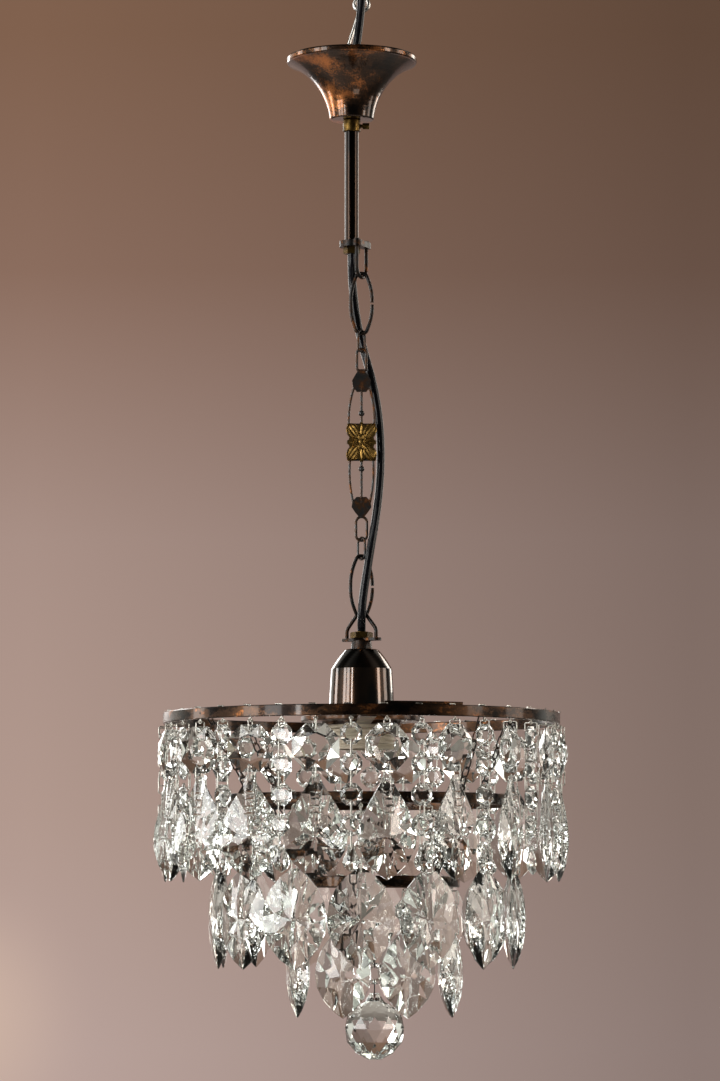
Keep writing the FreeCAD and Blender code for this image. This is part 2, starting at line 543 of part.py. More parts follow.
# ---------------------------------------------------------------- lampholder
def lower_bail(top):
    """Stirrup over the cap: a wire bow on a flat base strip, clamped by the lower nut."""
    base_top = LOWER_NUT_TOP - LOWER_NUT_H - GAP
    half = LOWER_BAIL_BASE_W / 2 - BAIL_WIRE_R
    crown = top - BAIL_WIRE_R
    path = [V(half, 0, base_top - 1.4), V(half, 0, base_top + 6), V(2.6, 0, crown), V(-2.6, 0, crown),
            V(-half, 0, base_top + 6), V(-half, 0, base_top - 1.4)]
    bow = bar_round(path, [0, 6, 2.5, 2.5, 6, 0], BAIL_WIRE_R)[0]
    strip = Part.makeBox(2 * half, 7.0, 1.8, V(-half, -3.5, base_top - 1.8))
    ends = [Part.makeCylinder(3.5, 1.8, V(side * half, 0, base_top - 1.8)) for side in (-1, 1)]
    foot = CAP_TOP + GAP
    boss = turned([(0, foot), (7.2, foot), (6.4, base_top - 1.8), (5.0, base_top), (0, base_top)])
    bail = bow.multiFuse([strip, boss] + ends)
    hole = Part.makeCylinder(NIPPLE_R + GAP, 20, V(0, 0, CAP_TOP))
    save("lower_bail", placed(bail.cut(hole).Solids[0], turn=LOWER_BAIL_TURN))


def lampholder():
    nut_foot = LOWER_NUT_TOP - LOWER_NUT_H
    save("lower_nut", nut(nut_foot, LOWER_NUT_H, 13.0, NIPPLE_R + GAP))
    nipple_foot = CAP_TOP - CAP_WALL - 9.0
    nipple = turned([(CORD_HOLE_R, nipple_foot), (NIPPLE_R, nipple_foot), (NIPPLE_R, LOWER_NUT_TOP + 0.4),
                     (CORD_HOLE_R + 0.5, LOWER_NUT_TOP + 0.4), (CORD_HOLE_R, LOWER_NUT_TOP - 0.4)])
    save("lower_nipple", nipple)

    shoulder = arc_points((CAP_R - 1.6, 33.0), (16.7, 39.0), (11.6, CAP_TOP - 0.6), 8)
    outside = [(CAP_R, CAP_BASE), (CAP_R, CAP_BASE + 1.0), (CAP_R - 0.6, 17.0)] + shoulder
    inside = [(r - CAP_WALL, z - 0.55) for r, z in reversed(outside[2:])]
    hole = NIPPLE_R + GAP
    profile = outside + [(10.4, CAP_TOP), (hole, CAP_TOP), (hole, CAP_TOP - CAP_WALL)] + inside
    profile += [(CAP_R - CAP_WALL, CAP_BASE + 1.0), (CAP_R - CAP_WALL, CAP_BASE)]
    save("holder_cover", turned(profile))

    # ribbed body: a skirt through the disc, a ledge that carries it and a neck that takes the nipple
    disc_top, disc_foot = CAP_BASE, CAP_BASE - DISC_THICK
    strap_foot = disc_foot - STRAP_THICK
    rib_r, pocket = HOLDER_R, THREAD_R + SHELL_WALL + GAP
    ledge = strap_foot - GAP
    ribs = []
    for k in range(5):
        z = HOLDER_FOOT + 0.6 + k * (ledge - 2.4 - HOLDER_FOOT) / 5
        ribs += [(rib_r, z), (rib_r, z + 1.7), (rib_r - 0.6, z + 2.0), (rib_r - 0.6, z + 2.5)]
    upper_r = HOLDER_R - 2.3
    neck_top = nipple_foot - GAP
    body = [(pocket, HOLDER_FOOT), (rib_r - 0.5, HOLDER_FOOT)] + ribs
    body += [(HOLDER_R + 2.2, ledge - 2.0), (HOLDER_R + 2.2, ledge), (upper_r, ledge), (upper_r, 26.0),
             (9.0, neck_top), (CORD_HOLE_R + 0.3, neck_top), (CORD_HOLE_R + 0.3, BLOCK_TOP + GAP),
             (pocket, BLOCK_TOP + GAP)]
    save("holder_body", turned(body))
    save("holder_shell", threaded_shell())
    block_foot = SHELL_TOP + 3.0
    block = turned([(CORD_HOLE_R, block_foot), (pocket - 0.1, block_foot), (pocket - 0.1, BLOCK_TOP),
                    (CORD_HOLE_R, BLOCK_TOP)])
    save("contact_block", block)
    tab = Part.makeCylinder(CORD_HOLE_R - 0.3, 3.0, V(0, 0, block_foot - 0.9))
    spring = Part.makeBox(11, 5, 0.7, V(-2.5, -2.5, block_foot - 1.6))
    save("centre_contact", tab.fuse(spring).removeSplitter().Solids[0])

    disc_hole = upper_r + GAP
    disc = turned([(disc_hole, disc_foot), (DISC_R - 0.6, disc_foot), (DISC_R, disc_foot + 0.6),
                   (DISC_R, disc_top - 0.6), (DISC_R - 0.6, disc_top), (disc_hole, disc_top)])
    save("gallery_disc", disc)
    reach = TOP_HOOP_R - HOOP_THICK - GAP
    strap = Part.makeCylinder(HOLDER_R + 6.0, STRAP_THICK, V(0, 0, strap_foot))
    arm = Part.makeBox(STRAP_WIDE, 2 * reach - 0.4, STRAP_THICK, V(-STRAP_WIDE / 2, 0.2 - reach, strap_foot))
    tabs = [Part.makeBox(STRAP_WIDE, 1.8, HOOP_HIGH / 2 - strap_foot - 1.0,
                         V(-STRAP_WIDE / 2, y, strap_foot)) for y in (0.2 - reach, reach - 2.0)]
    strap = strap.multiFuse([arm] + tabs).cut(Part.makeCylinder(upper_r + GAP, 9, V(0, 0, strap_foot - 1)))
    strap = strap.common(Part.makeCylinder(reach, 20, V(0, 0, strap_foot - 1)))
    save("frame_bar", placed(strap.removeSplitter().Solids[0], turn=STRAP_AZIMUTH))


def threaded_shell():
    """Thin shell with a rounded thread that stays clear of the stated thread radius."""
    wave, foot, wall = 1.75, HOLDER_FOOT + 2.0, THREAD_R + SHELL_WALL
    shell = turned([(THREAD_R, foot), (wall, foot), (wall, SHELL_TOP), (THREAD_R, SHELL_TOP)])
    groove_z = foot + wave
    while groove_z < SHELL_TOP - wave:
        shell = shell.cut(Part.makeTorus(THREAD_R - 0.05, 0.3, V(0, 0, groove_z)))
        groove_z += 2 * wave
    return shell.Solids[0]


def bent_cord(points, r, name):
    """Cord tube whose arcs are as large as the runs beside them allow; prints its length and radii."""
    path = [V(*p) for p in points]
    radii = [0.0] * len(path)
    for k in range(1, len(path) - 1):
        a, b = path[k] - path[k - 1], path[k + 1] - path[k]
        radii[k] = CORD_ARC_SHARE * min(a.Length, b.Length) / math.tan(a.getAngle(b) / 2)
    solid, length = bar_round(path, radii, r)
    ratio = solid.Volume / (math.pi * r * r * length)
    print("%s: %.1f mm, volume ratio %.4f, radii %s" % (name, length, ratio, [round(x) for x in radii[1:-1]]))
    return solid


def cords():
    nut_foot = CORD_IN_CHAIN[0][2]
    save("flex_chain", bent_cord(CORD_IN_CHAIN, CORD_R, "flex_chain"))
    save("flex_stem", rod(V(STEM_X, 0, nut_foot), V(*CORD_TAIL[0]), CORD_R))
    save("flex_lower", rod(V(0, 0, BLOCK_TOP + GAP), V(*CORD_IN_CHAIN[-1]), CORD_R))
    save("flex_tail", bent_cord(CORD_TAIL, CORD_R, "flex_tail"))
    x, y, z = CORD_TAIL[-1]
    wide, deep, tall = TERMINAL_BLOCK
    body = Part.makeBox(wide, deep, tall, V(x - wide / 2, y - deep / 2, z))
    body = body.makeFillet(1.2, body.Edges)
    for side in (-1, 1):
        for level in (0.28, 0.72):
            at = V(x + side * wide * 0.24, y - deep / 2, z + tall * level)
            screw = Part.makeCylinder(1.9, 3, at, V(0, 1, 0))
            body = body.cut(screw)
    save("terminal_block", body.Solids[0])


# ---------------------------------------------------------------- hoops and drop chains
def hoop(radius, middle, pins, holes=()):
    c, h, t = HOOP_CHAMFER, HOOP_HIGH / 2, HOOP_THICK
    ring = turned([(radius - c, middle - h), (radius, middle - h + c), (radius, middle + h - c),
                   (radius - c, middle + h), (radius - t + c, middle + h), (radius - t, middle + h - c),
                   (radius - t, middle - h + c), (radius - t + c, middle - h)])
    pin_hole = Part.makeCylinder(CLIP_WIRE_R + GAP, HOOP_HIGH + 2, V(0, -(radius - t / 2), middle - h - 1))
    return ring.cut(Part.makeCompound(around(pin_hole, pins) + list(holes)))


def wall_eye(radius, azimuth, z):
    """Eye on a hoop's inner face, riveted outside; returns the solid, its hole and the eye's centre."""
    centre_r = radius - HOOP_THICK - EYE_R - EYE_WIRE_R - 0.2
    eye = Part.makeTorus(EYE_R, EYE_WIRE_R, V(0, -centre_r, z), V(1, 0, 0))
    start = V(0, -centre_r - EYE_R + 0.2, z)
    shank = Part.makeCylinder(EYE_WIRE_R + 0.1, radius - centre_r - EYE_R, start, V(0, -1, 0))
    cap = Part.makeSphere(RIVET_R, V(0, -radius + RIVET_R * 0.45, z))
    outside = Part.makeBox(9, 3, 9, V(-4.5, -radius - GAP - 3, z - 4.5))
    solid = eye.multiFuse([shank, cap.common(outside)]).Solids[0]
    hole = Part.makeCylinder(EYE_WIRE_R + 0.1 + GAP, 8, V(0, -radius + 5, z), V(0, -1, 0))
    return placed(solid, turn=azimuth), placed(hole, turn=azimuth), at_azimuth(centre_r, azimuth, z)


def top_eye(radius, azimuth, z):
    """Eye that stands on a hoop's top face; returns the solid, its hole and the middle of its top wire."""
    centre_z = z + HOOP_HIGH / 2 + EYE_R + EYE_WIRE_R + 0.2
    at = V(0, -(radius - HOOP_THICK / 2), centre_z)
    eye = Part.makeTorus(EYE_R, EYE_WIRE_R, at, V(0, 1, 0))
    shank = Part.makeCylinder(EYE_WIRE_R + 0.1, 4.0, at - V(0, 0, EYE_R + 3.8))
    collar_ring = Part.makeCylinder(EYE_WIRE_R + 0.7, 0.5, at - V(0, 0, centre_z - z - HOOP_HIGH / 2 - GAP))
    hole = Part.makeCylinder(EYE_WIRE_R + 0.1 + GAP, 5.0, at - V(0, 0, EYE_R + 3.9))
    solid = eye.multiFuse([shank, collar_ring]).Solids[0]
    top = at_azimuth(-at.y, azimuth, centre_z + EYE_R)
    return placed(solid, turn=azimuth), placed(hole, turn=azimuth), top


def link_chain(start, end, azimuth):
    """Oval links from the centre of a wall eye to the top of a standing eye, alternately turned a quarter.

    The first link stands across the plane of the drop and the last one in it, as their eyes need.
    """
    r, hook = CHAIN_WIRE_R, EYE_WIRE_R + CHAIN_WIRE_R + GAP
    run = end - start
    down = V(run).normalize()
    across = V(math.cos(math.radians(azimuth)), math.sin(math.radians(azimuth)), 0)
    inward = down.cross(across).normalize()
    across = inward.cross(down)
    inset = EYE_R - hook
    reach = run.Length + hook - inset - 2 * r - GAP
    count = 2 * max(1, round(reach / CHAIN_PITCH / 2))
    pitch = reach / count
    tall = pitch + 4 * r + GAP
    link = loop(CHAIN_LINK_W, tall, r)
    links = []
    for k in range(count):
        side, face = (across, inward) if k % 2 == 0 else (inward, across * -1)
        at = start + down * (inset + tall / 2 - r + pitch * k)
        copy = link.copy()
        copy.Placement = FreeCAD.Placement(FreeCAD.Matrix(
            side.x, face.x, down.x, at.x, side.y, face.y, down.y, at.y, side.z, face.z, down.z, at.z, 0, 0, 0, 1))
        links.append(copy)
    return links


def hoops():
    top_pins = ring_of(TIER1_COUNT, TIER1_LARGE_FROM) + ring_of(TIER1_COUNT, TIER1_SMALL_FROM)
    middle, bottom = V(MIDDLE_HOOP_X, 0, 0), V(BOTTOM_HOOP_X, 0, 0)
    rivets, middle_eyes, bottom_eyes, upper, lower, holes = [], [], [], [], [], {0: [], 1: [], 2: []}
    for azimuth in CHAIN_AZIMUTHS:
        eye, hole, start = wall_eye(TOP_HOOP_R, azimuth, TOP_HOOP_Z)
        rivets.append(eye)
        holes[0].append(hole)
        eye, hole, end = top_eye(MIDDLE_HOOP_R, azimuth, MIDDLE_HOOP_Z)
        middle_eyes.append(eye)
        holes[1].append(hole)
        upper += link_chain(start, end + middle, azimuth)
        low = azimuth + LOWER_CHAIN_SHIFT
        eye, hole, start = wall_eye(MIDDLE_HOOP_R, low, MIDDLE_HOOP_Z)
        middle_eyes.append(eye)
        holes[1].append(hole)
        eye, hole, end = top_eye(BOTTOM_HOOP_R, low, BOTTOM_HOOP_Z)
        bottom_eyes.append(eye)
        holes[2].append(hole)
        lower += link_chain(start + middle, end + bottom, low)

    ring = hoop(TOP_HOOP_R, TOP_HOOP_Z, top_pins, holes[0])
    lap_r = TOP_HOOP_R - HOOP_THICK + 0.2
    lap = Part.makeCylinder(lap_r, HOOP_HIGH - 1.0, V(0, 0, TOP_HOOP_Z - HOOP_HIGH / 2 + 1.0 + LAP_RISE), UP,
                            LAP_END - LAP_START)
    lap = lap.cut(Part.makeCylinder(lap_r - LAP_THICK, 40, V(0, 0, TOP_HOOP_Z - 20)))
    lap.rotate(CENTRE, UP, LAP_START - 90)
    save("top_hoop", ring.fuse(lap).cut(Part.makeCompound(holes[0])).Solids[0])
    ring = hoop(MIDDLE_HOOP_R, MIDDLE_HOOP_Z, ring_of(TIER2_COUNT, TIER2_FROM), holes[1])
    save("middle_hoop", ring.Solids[0], x=MIDDLE_HOOP_X)
    ring = hoop(BOTTOM_HOOP_R, BOTTOM_HOOP_Z, ring_of(TIER3_COUNT, TIER3_FROM), holes[2])
    save("bottom_hoop", ring.Solids[0], x=BOTTOM_HOOP_X)
    save("top_hoop_eyes", *rivets)
    save("middle_hoop_eyes", *middle_eyes, x=MIDDLE_HOOP_X)
    save("bottom_hoop_eyes", *bottom_eyes, x=BOTTOM_HOOP_X)
    save("upper_drop_chains", *upper)
    save("lower_drop_chains", *lower)


# ---------------------------------------------------------------- strings of crystals
def hung(shape, radius, top, turn=0.0):
    """A crystal at the front of a hoop, turned about its own string."""
    return placed(shape, V(0, -radius, top), turn)


def string(radius, hoop_z, top, hole_in, steps, turn=0.0):
    """Pin, carrier and clips of one string at the front; steps are (upper hole, lower hole) heights."""
    wires = pin(hoop_z, top - hole_in) + [clip(high, low) for high, low in steps]
    return [placed(w, V(0, -radius, 0), turn) for w in wires]


def beads_down(top, count, pitch):
    return [top - pitch * k for k in range(count)]


def bead_joins(tops, last_top, last_hole_in):
    """Clip heights from each bead's lower hole to the next piece's upper hole."""
    lows = [t - BEAD + BEAD_HOLE_IN for t in tops]
    return list(zip(lows, [t - BEAD_HOLE_IN for t in tops[1:]] + [last_top - last_hole_in]))


def first_tier(bead, big):
    radius, turn = TOP_HOOP_R - HOOP_THICK / 2, TIER1_LARGE_TURN
    large, small = ring_of(TIER1_COUNT, TIER1_LARGE_FROM), ring_of(TIER1_COUNT, TIER1_SMALL_FROM)
    save("tier1_octagons", *around(hung(big, radius, LARGE_TOP, turn), large))
    save("tier1_pendeloques", *around(hung(pendeloque(), radius, PENDELOQUE_TOP, turn), large))
    tops = beads_down(SMALL_TOP, SMALL_BEADS, SMALL_PITCH)
    save("tier1_beads", *[b for t in tops for b in around(hung(bead, radius, t), small)])
    save("tier1_drops", *around(hung(drop(), radius, DROP_TOP), small))
    join = (LARGE_TOP - OCTAGON + OCTAGON_HOLE_IN, PENDELOQUE_TOP - STAR_HOLE_IN)
    wires = [w for s in string(radius, TOP_HOOP_Z, LARGE_TOP, OCTAGON_HOLE_IN, [join], turn)
             for w in around(s, large)]
    joins = bead_joins(tops, DROP_TOP, DROP_HOLE_IN)
    wires += [w for s in string(radius, TOP_HOOP_Z, SMALL_TOP, BEAD_HOLE_IN, joins) for w in around(s, small)]
    save("tier1_wires", *wires)


def second_tier(bead):
    radius, spots = MIDDLE_HOOP_R - HOOP_THICK / 2, ring_of(TIER2_COUNT, TIER2_FROM)
    tops = beads_down(TIER2_TOP, 2, SMALL_PITCH)
    beads = [b for t in tops for b in around(hung(bead, radius, t, TIER2_TURN), spots)]
    save("tier2_beads", *beads, x=MIDDLE_HOOP_X)
    save("tier2_ovals", *around(hung(oval(), radius, OVAL_TOP, TIER2_TURN), spots), x=MIDDLE_HOOP_X)
    joins = bead_joins(tops, OVAL_TOP, STAR_HOLE_IN)
    wires = string(radius, MIDDLE_HOOP_Z, TIER2_TOP, BEAD_HOLE_IN, joins, TIER2_TURN)
    save("tier2_wires", *[w for s in wires for w in around(s, spots)], x=MIDDLE_HOOP_X)


def third_tier(bead):
    """Each string of the lowest tier is a piece of its own; its bead and almond are joined in one string."""
    radius, stone = BOTTOM_HOOP_R - HOOP_THICK / 2, almond()
    for k, azimuth in enumerate(ring_of(TIER3_COUNT, TIER3_FROM)):
        pieces = [placed(hung(part, radius, top), turn=azimuth)
                  for part, top in ((bead, TIER3_TOP), (stone, ALMOND_TOP))]
        save("tier3_string_%d" % (k + 1), *pieces, x=BOTTOM_HOOP_X)
    wires = string(radius, BOTTOM_HOOP_Z, TIER3_TOP, BEAD_HOLE_IN, [])
    pins = around(wires[0], ring_of(TIER3_COUNT, TIER3_FROM))
    save("tier3_wires", *pins, x=BOTTOM_HOOP_X)


def ball(bead):
    """Flat bar across the bottom hoop with an eye at its middle, and the ball on its own chain."""
    reach = math.sqrt((BOTTOM_HOOP_R - HOOP_THICK - GAP) ** 2 - (BALL_BAR_W / 2) ** 2)
    bar = Part.makeBox(BALL_BAR_W, 2 * reach, 1.6, V(-BALL_BAR_W / 2, -reach, BOTTOM_HOOP_Z - 0.8))
    eye_z = BOTTOM_HOOP_Z - 0.8 - EYE_R - 0.2
    bar = bar.fuse(Part.makeTorus(EYE_R, EYE_WIRE_R, V(0, 0, eye_z), V(0, 1, 0)))
    save("ball_bar", placed(bar.Solids[0], turn=BALL_BAR_AZIMUTH), x=BOTTOM_HOOP_X)
    save("ball_chain", *ball_links(eye_z), x=BOTTOM_HOOP_X)
    save("ball_bead", placed(bead, V(0, 0, BALL_BEAD_TOP)), x=BOTTOM_HOOP_X)
    levels = [(-19.6, 4.6), (-15.6, 12.2), (-8.0, 18.4), (0.8, 20.0), (8.6, 18.0), (14.6, 12.6), (18.4, 6.2),
              (23.8, 2.9)]
    save("crystal_ball", placed(turned_crystal(levels, 12, BALL_HOLE), V(0, 0, BALL_CENTRE)), x=BOTTOM_HOOP_X)


def ball_links(eye_z):
    """Links from the bar's eye down to the bead, and the wire loops above and below the bead."""
    r = CHAIN_WIRE_R
    first = eye_z - EYE_R + EYE_WIRE_R + r + GAP
    bead_hole, ball_hole = BALL_BEAD_TOP - BEAD_HOLE_IN, BALL_CENTRE + BALL_HOLE
    clip_top = bead_hole + BALL_CLIP_TALL
    last = clip_top - CLIP_WIRE_R - r - GAP
    reach = first - last - 2 * r - GAP
    count = 2 * round(reach / CHAIN_PITCH / 2)
    pitch = reach / count
    tall = pitch + 4 * r + GAP
    link = loop(CHAIN_LINK_W, tall, r)
    heights = [first - tall / 2 + r - pitch * k for k in range(count)]
    links = [placed(link, V(0, 0, z), 90 * ((k + 1) % 2)) for k, z in enumerate(heights)]
    below = clip(bead_hole - BEAD + 2 * BEAD_HOLE_IN, ball_hole, BALL_CLIP_HALF)
    return links + [clip(clip_top, bead_hole), below]


def main():
    os.makedirs("parts", exist_ok=True)
    levels = chain_levels()
    canopy()
    collar()
    stem()
    upper_bails()
    hanging_wire()
    chain(levels)
    lower_bail(levels["lower_bail"])
    lampholder()
    cords()
    hoops()
    bead = octagon_crystal(BEAD, BEAD_THICK, BEAD_HOLE_IN, True)
    first_tier(bead, octagon_crystal(OCTAGON, OCTAGON_THICK, OCTAGON_HOLE_IN, True))
    second_tier(bead)
    third_tier(bead)
    ball(bead)
    print(len(NODES), "nodes")


main()
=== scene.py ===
"""Looks for the crystal pendant chandelier: metals, cut glass, flex, rosettes, clips and studio."""
import json
import math

import bmesh
import bpy
from mathutils import Matrix, Vector


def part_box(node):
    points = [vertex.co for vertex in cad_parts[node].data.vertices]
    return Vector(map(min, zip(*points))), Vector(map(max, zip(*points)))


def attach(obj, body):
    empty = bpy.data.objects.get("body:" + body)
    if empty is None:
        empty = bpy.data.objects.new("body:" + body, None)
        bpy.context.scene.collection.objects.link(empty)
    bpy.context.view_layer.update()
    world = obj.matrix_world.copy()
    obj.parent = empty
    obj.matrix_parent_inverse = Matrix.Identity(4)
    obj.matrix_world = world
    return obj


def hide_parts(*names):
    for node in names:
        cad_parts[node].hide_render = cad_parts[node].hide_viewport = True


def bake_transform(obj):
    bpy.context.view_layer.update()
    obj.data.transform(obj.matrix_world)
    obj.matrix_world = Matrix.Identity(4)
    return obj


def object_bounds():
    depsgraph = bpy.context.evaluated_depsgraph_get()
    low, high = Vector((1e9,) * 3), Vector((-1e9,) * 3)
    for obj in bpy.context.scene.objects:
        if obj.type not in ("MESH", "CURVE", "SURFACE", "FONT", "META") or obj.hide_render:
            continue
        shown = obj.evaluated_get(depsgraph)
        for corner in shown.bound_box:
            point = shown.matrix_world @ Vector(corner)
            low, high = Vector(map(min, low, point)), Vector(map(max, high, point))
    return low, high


bl_info = {
    "name": "Crystal pendant chandelier",
    "version": (1, 0, 0),
    "blender": (4, 5, 0),
    "location": "3D View > Sidebar > Chandelier",
    "description": "Dresses the packed chandelier frame with its metals, cut glass, flex and ornaments",
    "category": "Object",
}

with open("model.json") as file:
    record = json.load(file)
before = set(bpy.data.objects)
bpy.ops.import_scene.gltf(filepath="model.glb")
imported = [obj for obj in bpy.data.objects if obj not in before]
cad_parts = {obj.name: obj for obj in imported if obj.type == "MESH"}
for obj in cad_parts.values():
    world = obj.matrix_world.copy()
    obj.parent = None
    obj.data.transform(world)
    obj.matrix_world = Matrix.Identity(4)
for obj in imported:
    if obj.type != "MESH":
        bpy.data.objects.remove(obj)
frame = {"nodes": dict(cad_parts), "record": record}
CAD_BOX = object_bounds()
MM = 0.001
EYE_TO_HOOP = 483.5          # the hanging eye stands this many millimetres above the top hoop

# control points of the flex, in millimetres: x, y and height above the top hoop
FLEX_IN_CHAIN = [
    (-6.5, 0.0, 312.0), (-6.5, 0.0, 305.5), (-6.4, 2.4, 298.8), (-6.1, 4.9, 291.5), (-5.2, 5.8, 283),
    (-4.2, 5.7, 274), (-2.4, 6.3, 263), (0.4, 7.1, 251), (3.6, 6.7, 239), (7.0, 5.8, 227), (9.9, 5.4, 213),
    (11.9, 5.5, 198), (12.9, 5.2, 182), (12.7, 4.6, 165), (11.4, 2.8, 148), (9.2, -1.0, 131),
    (6.4, -4.9, 115), (4.2, -6.4, 101), (2.4, -6.9, 90), (1.0, -7.0, 80), (0.3, -6.9, 72.5),
    (0.0, -5.3, 65.3), (0.0, 0.0, 57.8), (0.0, 0.0, 51.0),
]
FLEX_TAIL = [
    (-6.5, 0.0, 414.5), (-6.5, 0.0, 421.5), (-6.35, -2.2, 428.3), (-5.5, -5.4, 435.5), (-4.2, -7.7, 444.5),
    (-2.6, -8.8, 455), (-1.1, -8.9, 466.5), (-0.1, -8.0, 478.5), (0.35, -6.4, 490.5), (0.4, -5.0, 501),
    (0.4, -5.0, 511),
]
# the stretch beside the chain: top and bottom of each length, the bodies above and below it, and
# two heights round the joint between them
FLEX_LENGTHS = [
    (312.0, 272.0, "stem", "upper_link", 304.0, 282.0),
    (272.0, 251.0, "upper_link", "upper_ring", 266.0, 253.0),
    (251.0, 180.0, "upper_ring", "ornate_link", 249.0, 236.0),
    (180.0, 112.5, "ornate_link", "lower_ring", 127.0, 114.0),
    (112.5, 92.0, "lower_ring", "lower_link", 111.0, 97.0),
    (92.0, 51.0, "lower_link", "lamp", 78.0, 60.0),
]

# window panes: azimuth from the front, height, width and height in metres, and share of the power
WINDOWS = [
    (-64, -0.20, (0.34, 1.30), 1.0), (-50, -0.20, (0.34, 1.30), 1.0), (-57, 0.95, (0.9, 0.35), 0.7),
    (-104, -0.20, (0.40, 1.30), 0.8), (-20, 1.10, (0.8, 0.30), 0.5), (-35, -0.25, (0.09, 0.80), 3.0),
    (66, 0.05, (0.34, 0.90), 1.0), (96, -0.10, (0.50, 1.20), 0.45), (140, 0.2, (0.5, 1.0), 0.6),
    (-150, 0.1, (0.5, 1.0), 0.7), (20, -1.55, (0.9, 0.30), 0.35),
]
WINDOW_DISTANCE = 1.9        # metres from the lamp's axis

# the room's brightness round the lamp: heading in degrees, from behind the lamp towards +X, and share
ROOM = [
    (-180, 0.12), (-150, 0.15), (-120, 0.9), (-100, 2.0), (-85, 0.25), (-62, 0.20), (-52, 2.4),
    (-40, 2.4), (-34, 0.15), (-28, 0.15), (28, 0.2), (34, 0.15), (42, 2.0), (52, 2.0), (60, 0.2),
    (84, 0.3), (96, 1.4), (112, 1.2), (130, 0.2), (180, 0.12),
]

# ---------------------------------------------------------------- settings
def in_metres(name, description, default, low, high):
    return bpy.props.FloatProperty(name=name, description=description, default=default, min=low, max=high,
                                   unit="LENGTH")


def as_colour(name, description, default):
    return bpy.props.FloatVectorProperty(name=name, description=description, default=default,
                                         subtype="COLOR", min=0, max=1)


class ChandelierSizes(bpy.types.PropertyGroup):
    flex_diameter: in_metres("Flex diameter", "Outside diameter of the mains flex", 0.0055, 0.003, 0.01)
    clip_wire: in_metres("Clip wire", "Diameter of the wire that joins two crystals", 0.0008, 0.0004, 0.0015)
    leaf_relief: in_metres("Leaf relief", "Height of the ribs on the rosette's leaves", 0.00035, 0.0, 0.001)


class ChandelierColours(bpy.types.PropertyGroup):
    patina_dark: as_colour("Patina", "Darkest patina on the bronze", (0.010, 0.007, 0.006))
    patina_brown: as_colour("Bronze", "Rubbed brown bronze", (0.052, 0.027, 0.015))
    patina_copper: as_colour("Copper", "Bright copper where the patina is worn", (0.420, 0.150, 0.045))
    brass: as_colour("Gilt", "Gilded brass of the rosette and rings", (0.420, 0.250, 0.070))
    glass: as_colour("Crystal", "Tint of the lead crystal", (0.957, 0.985, 0.968))


class ChandelierStudio(bpy.types.PropertyGroup):
    camera_distance: in_metres("Camera distance", "From the camera to the lamp's axis", 2.62, 0.5, 10)
    camera_drop: in_metres("Camera drop", "Camera height below the hanging eye", 0.6089, 0, 3)
    camera_tilt: bpy.props.FloatProperty(name="Camera tilt", description="Upward tilt of the camera",
                                         default=math.radians(5.317), subtype="ANGLE")
    lens: bpy.props.FloatProperty(name="Lens", description="Focal length on a 36 mm frame",
                                  default=132.2, min=20, max=300)
    wall_back: in_metres("Wall", "Distance of the wall behind the lamp", 2.9, 1, 6)
    window_power: bpy.props.FloatProperty(name="Window", default=26.0, min=0, max=500, unit="POWER",
                                          description="Power of the window panes for each square metre")


SIZES, COLOURS, STUDIO = "chandelier_sizes", "chandelier_colours", "chandelier_studio"
FINISHES = {}                # filled by the first operator: slot name to material


def settings(group):
    return getattr(bpy.context.scene, group)


# ---------------------------------------------------------------- helpers
def at_height(x, y, above_hoop):
    """A point given in millimetres from the top hoop, in the frame's metres."""
    return Vector((x * MM, y * MM, (above_hoop - EYE_TO_HOOP) * MM))


def deselect():
    if bpy.context.mode != "OBJECT":
        bpy.ops.object.mode_set(mode="OBJECT")
    bpy.ops.object.select_all(action="DESELECT")


def only(piece):
    deselect()
    piece.select_set(True)
    bpy.context.view_layer.objects.active = piece


def settle(piece, name):
    """Names a finished piece and puts its place into its mesh."""
    piece.name = piece.data.name = name
    only(piece)
    bpy.ops.object.transform_apply(location=True, rotation=True, scale=True)
    return piece


def join(pieces, name):
    deselect()
    for piece in pieces:
        piece.select_set(True)
    bpy.context.view_layer.objects.active = pieces[0]
    bpy.ops.object.join()
    return settle(bpy.context.view_layer.objects.active, name)


def copy_of(piece, matrix=Matrix.Identity(4)):
    twin = bpy.data.objects.new(piece.name + "_twin", piece.data.copy())
    twin.matrix_world = matrix @ piece.matrix_world
    bpy.context.collection.objects.link(twin)
    return twin


def push(piece, chosen, offset):
    """Moves the vertices that a test chooses, in edit mode."""
    only(piece)
    bpy.ops.object.mode_set(mode="EDIT")
    bpy.ops.mesh.select_all(action="DESELECT")
    bpy.ops.object.mode_set(mode="OBJECT")
    for vertex in piece.data.vertices:
        vertex.select = chosen(vertex.co)
    bpy.ops.object.mode_set(mode="EDIT")
    bpy.ops.transform.translate(value=offset)
    bpy.ops.object.mode_set(mode="OBJECT")


def finish(piece, material, smooth=30.0):
    only(piece)
    bpy.ops.object.shade_smooth_by_angle(angle=math.radians(smooth))
    piece.data.materials.clear()
    piece.data.materials.append(material)
    return piece


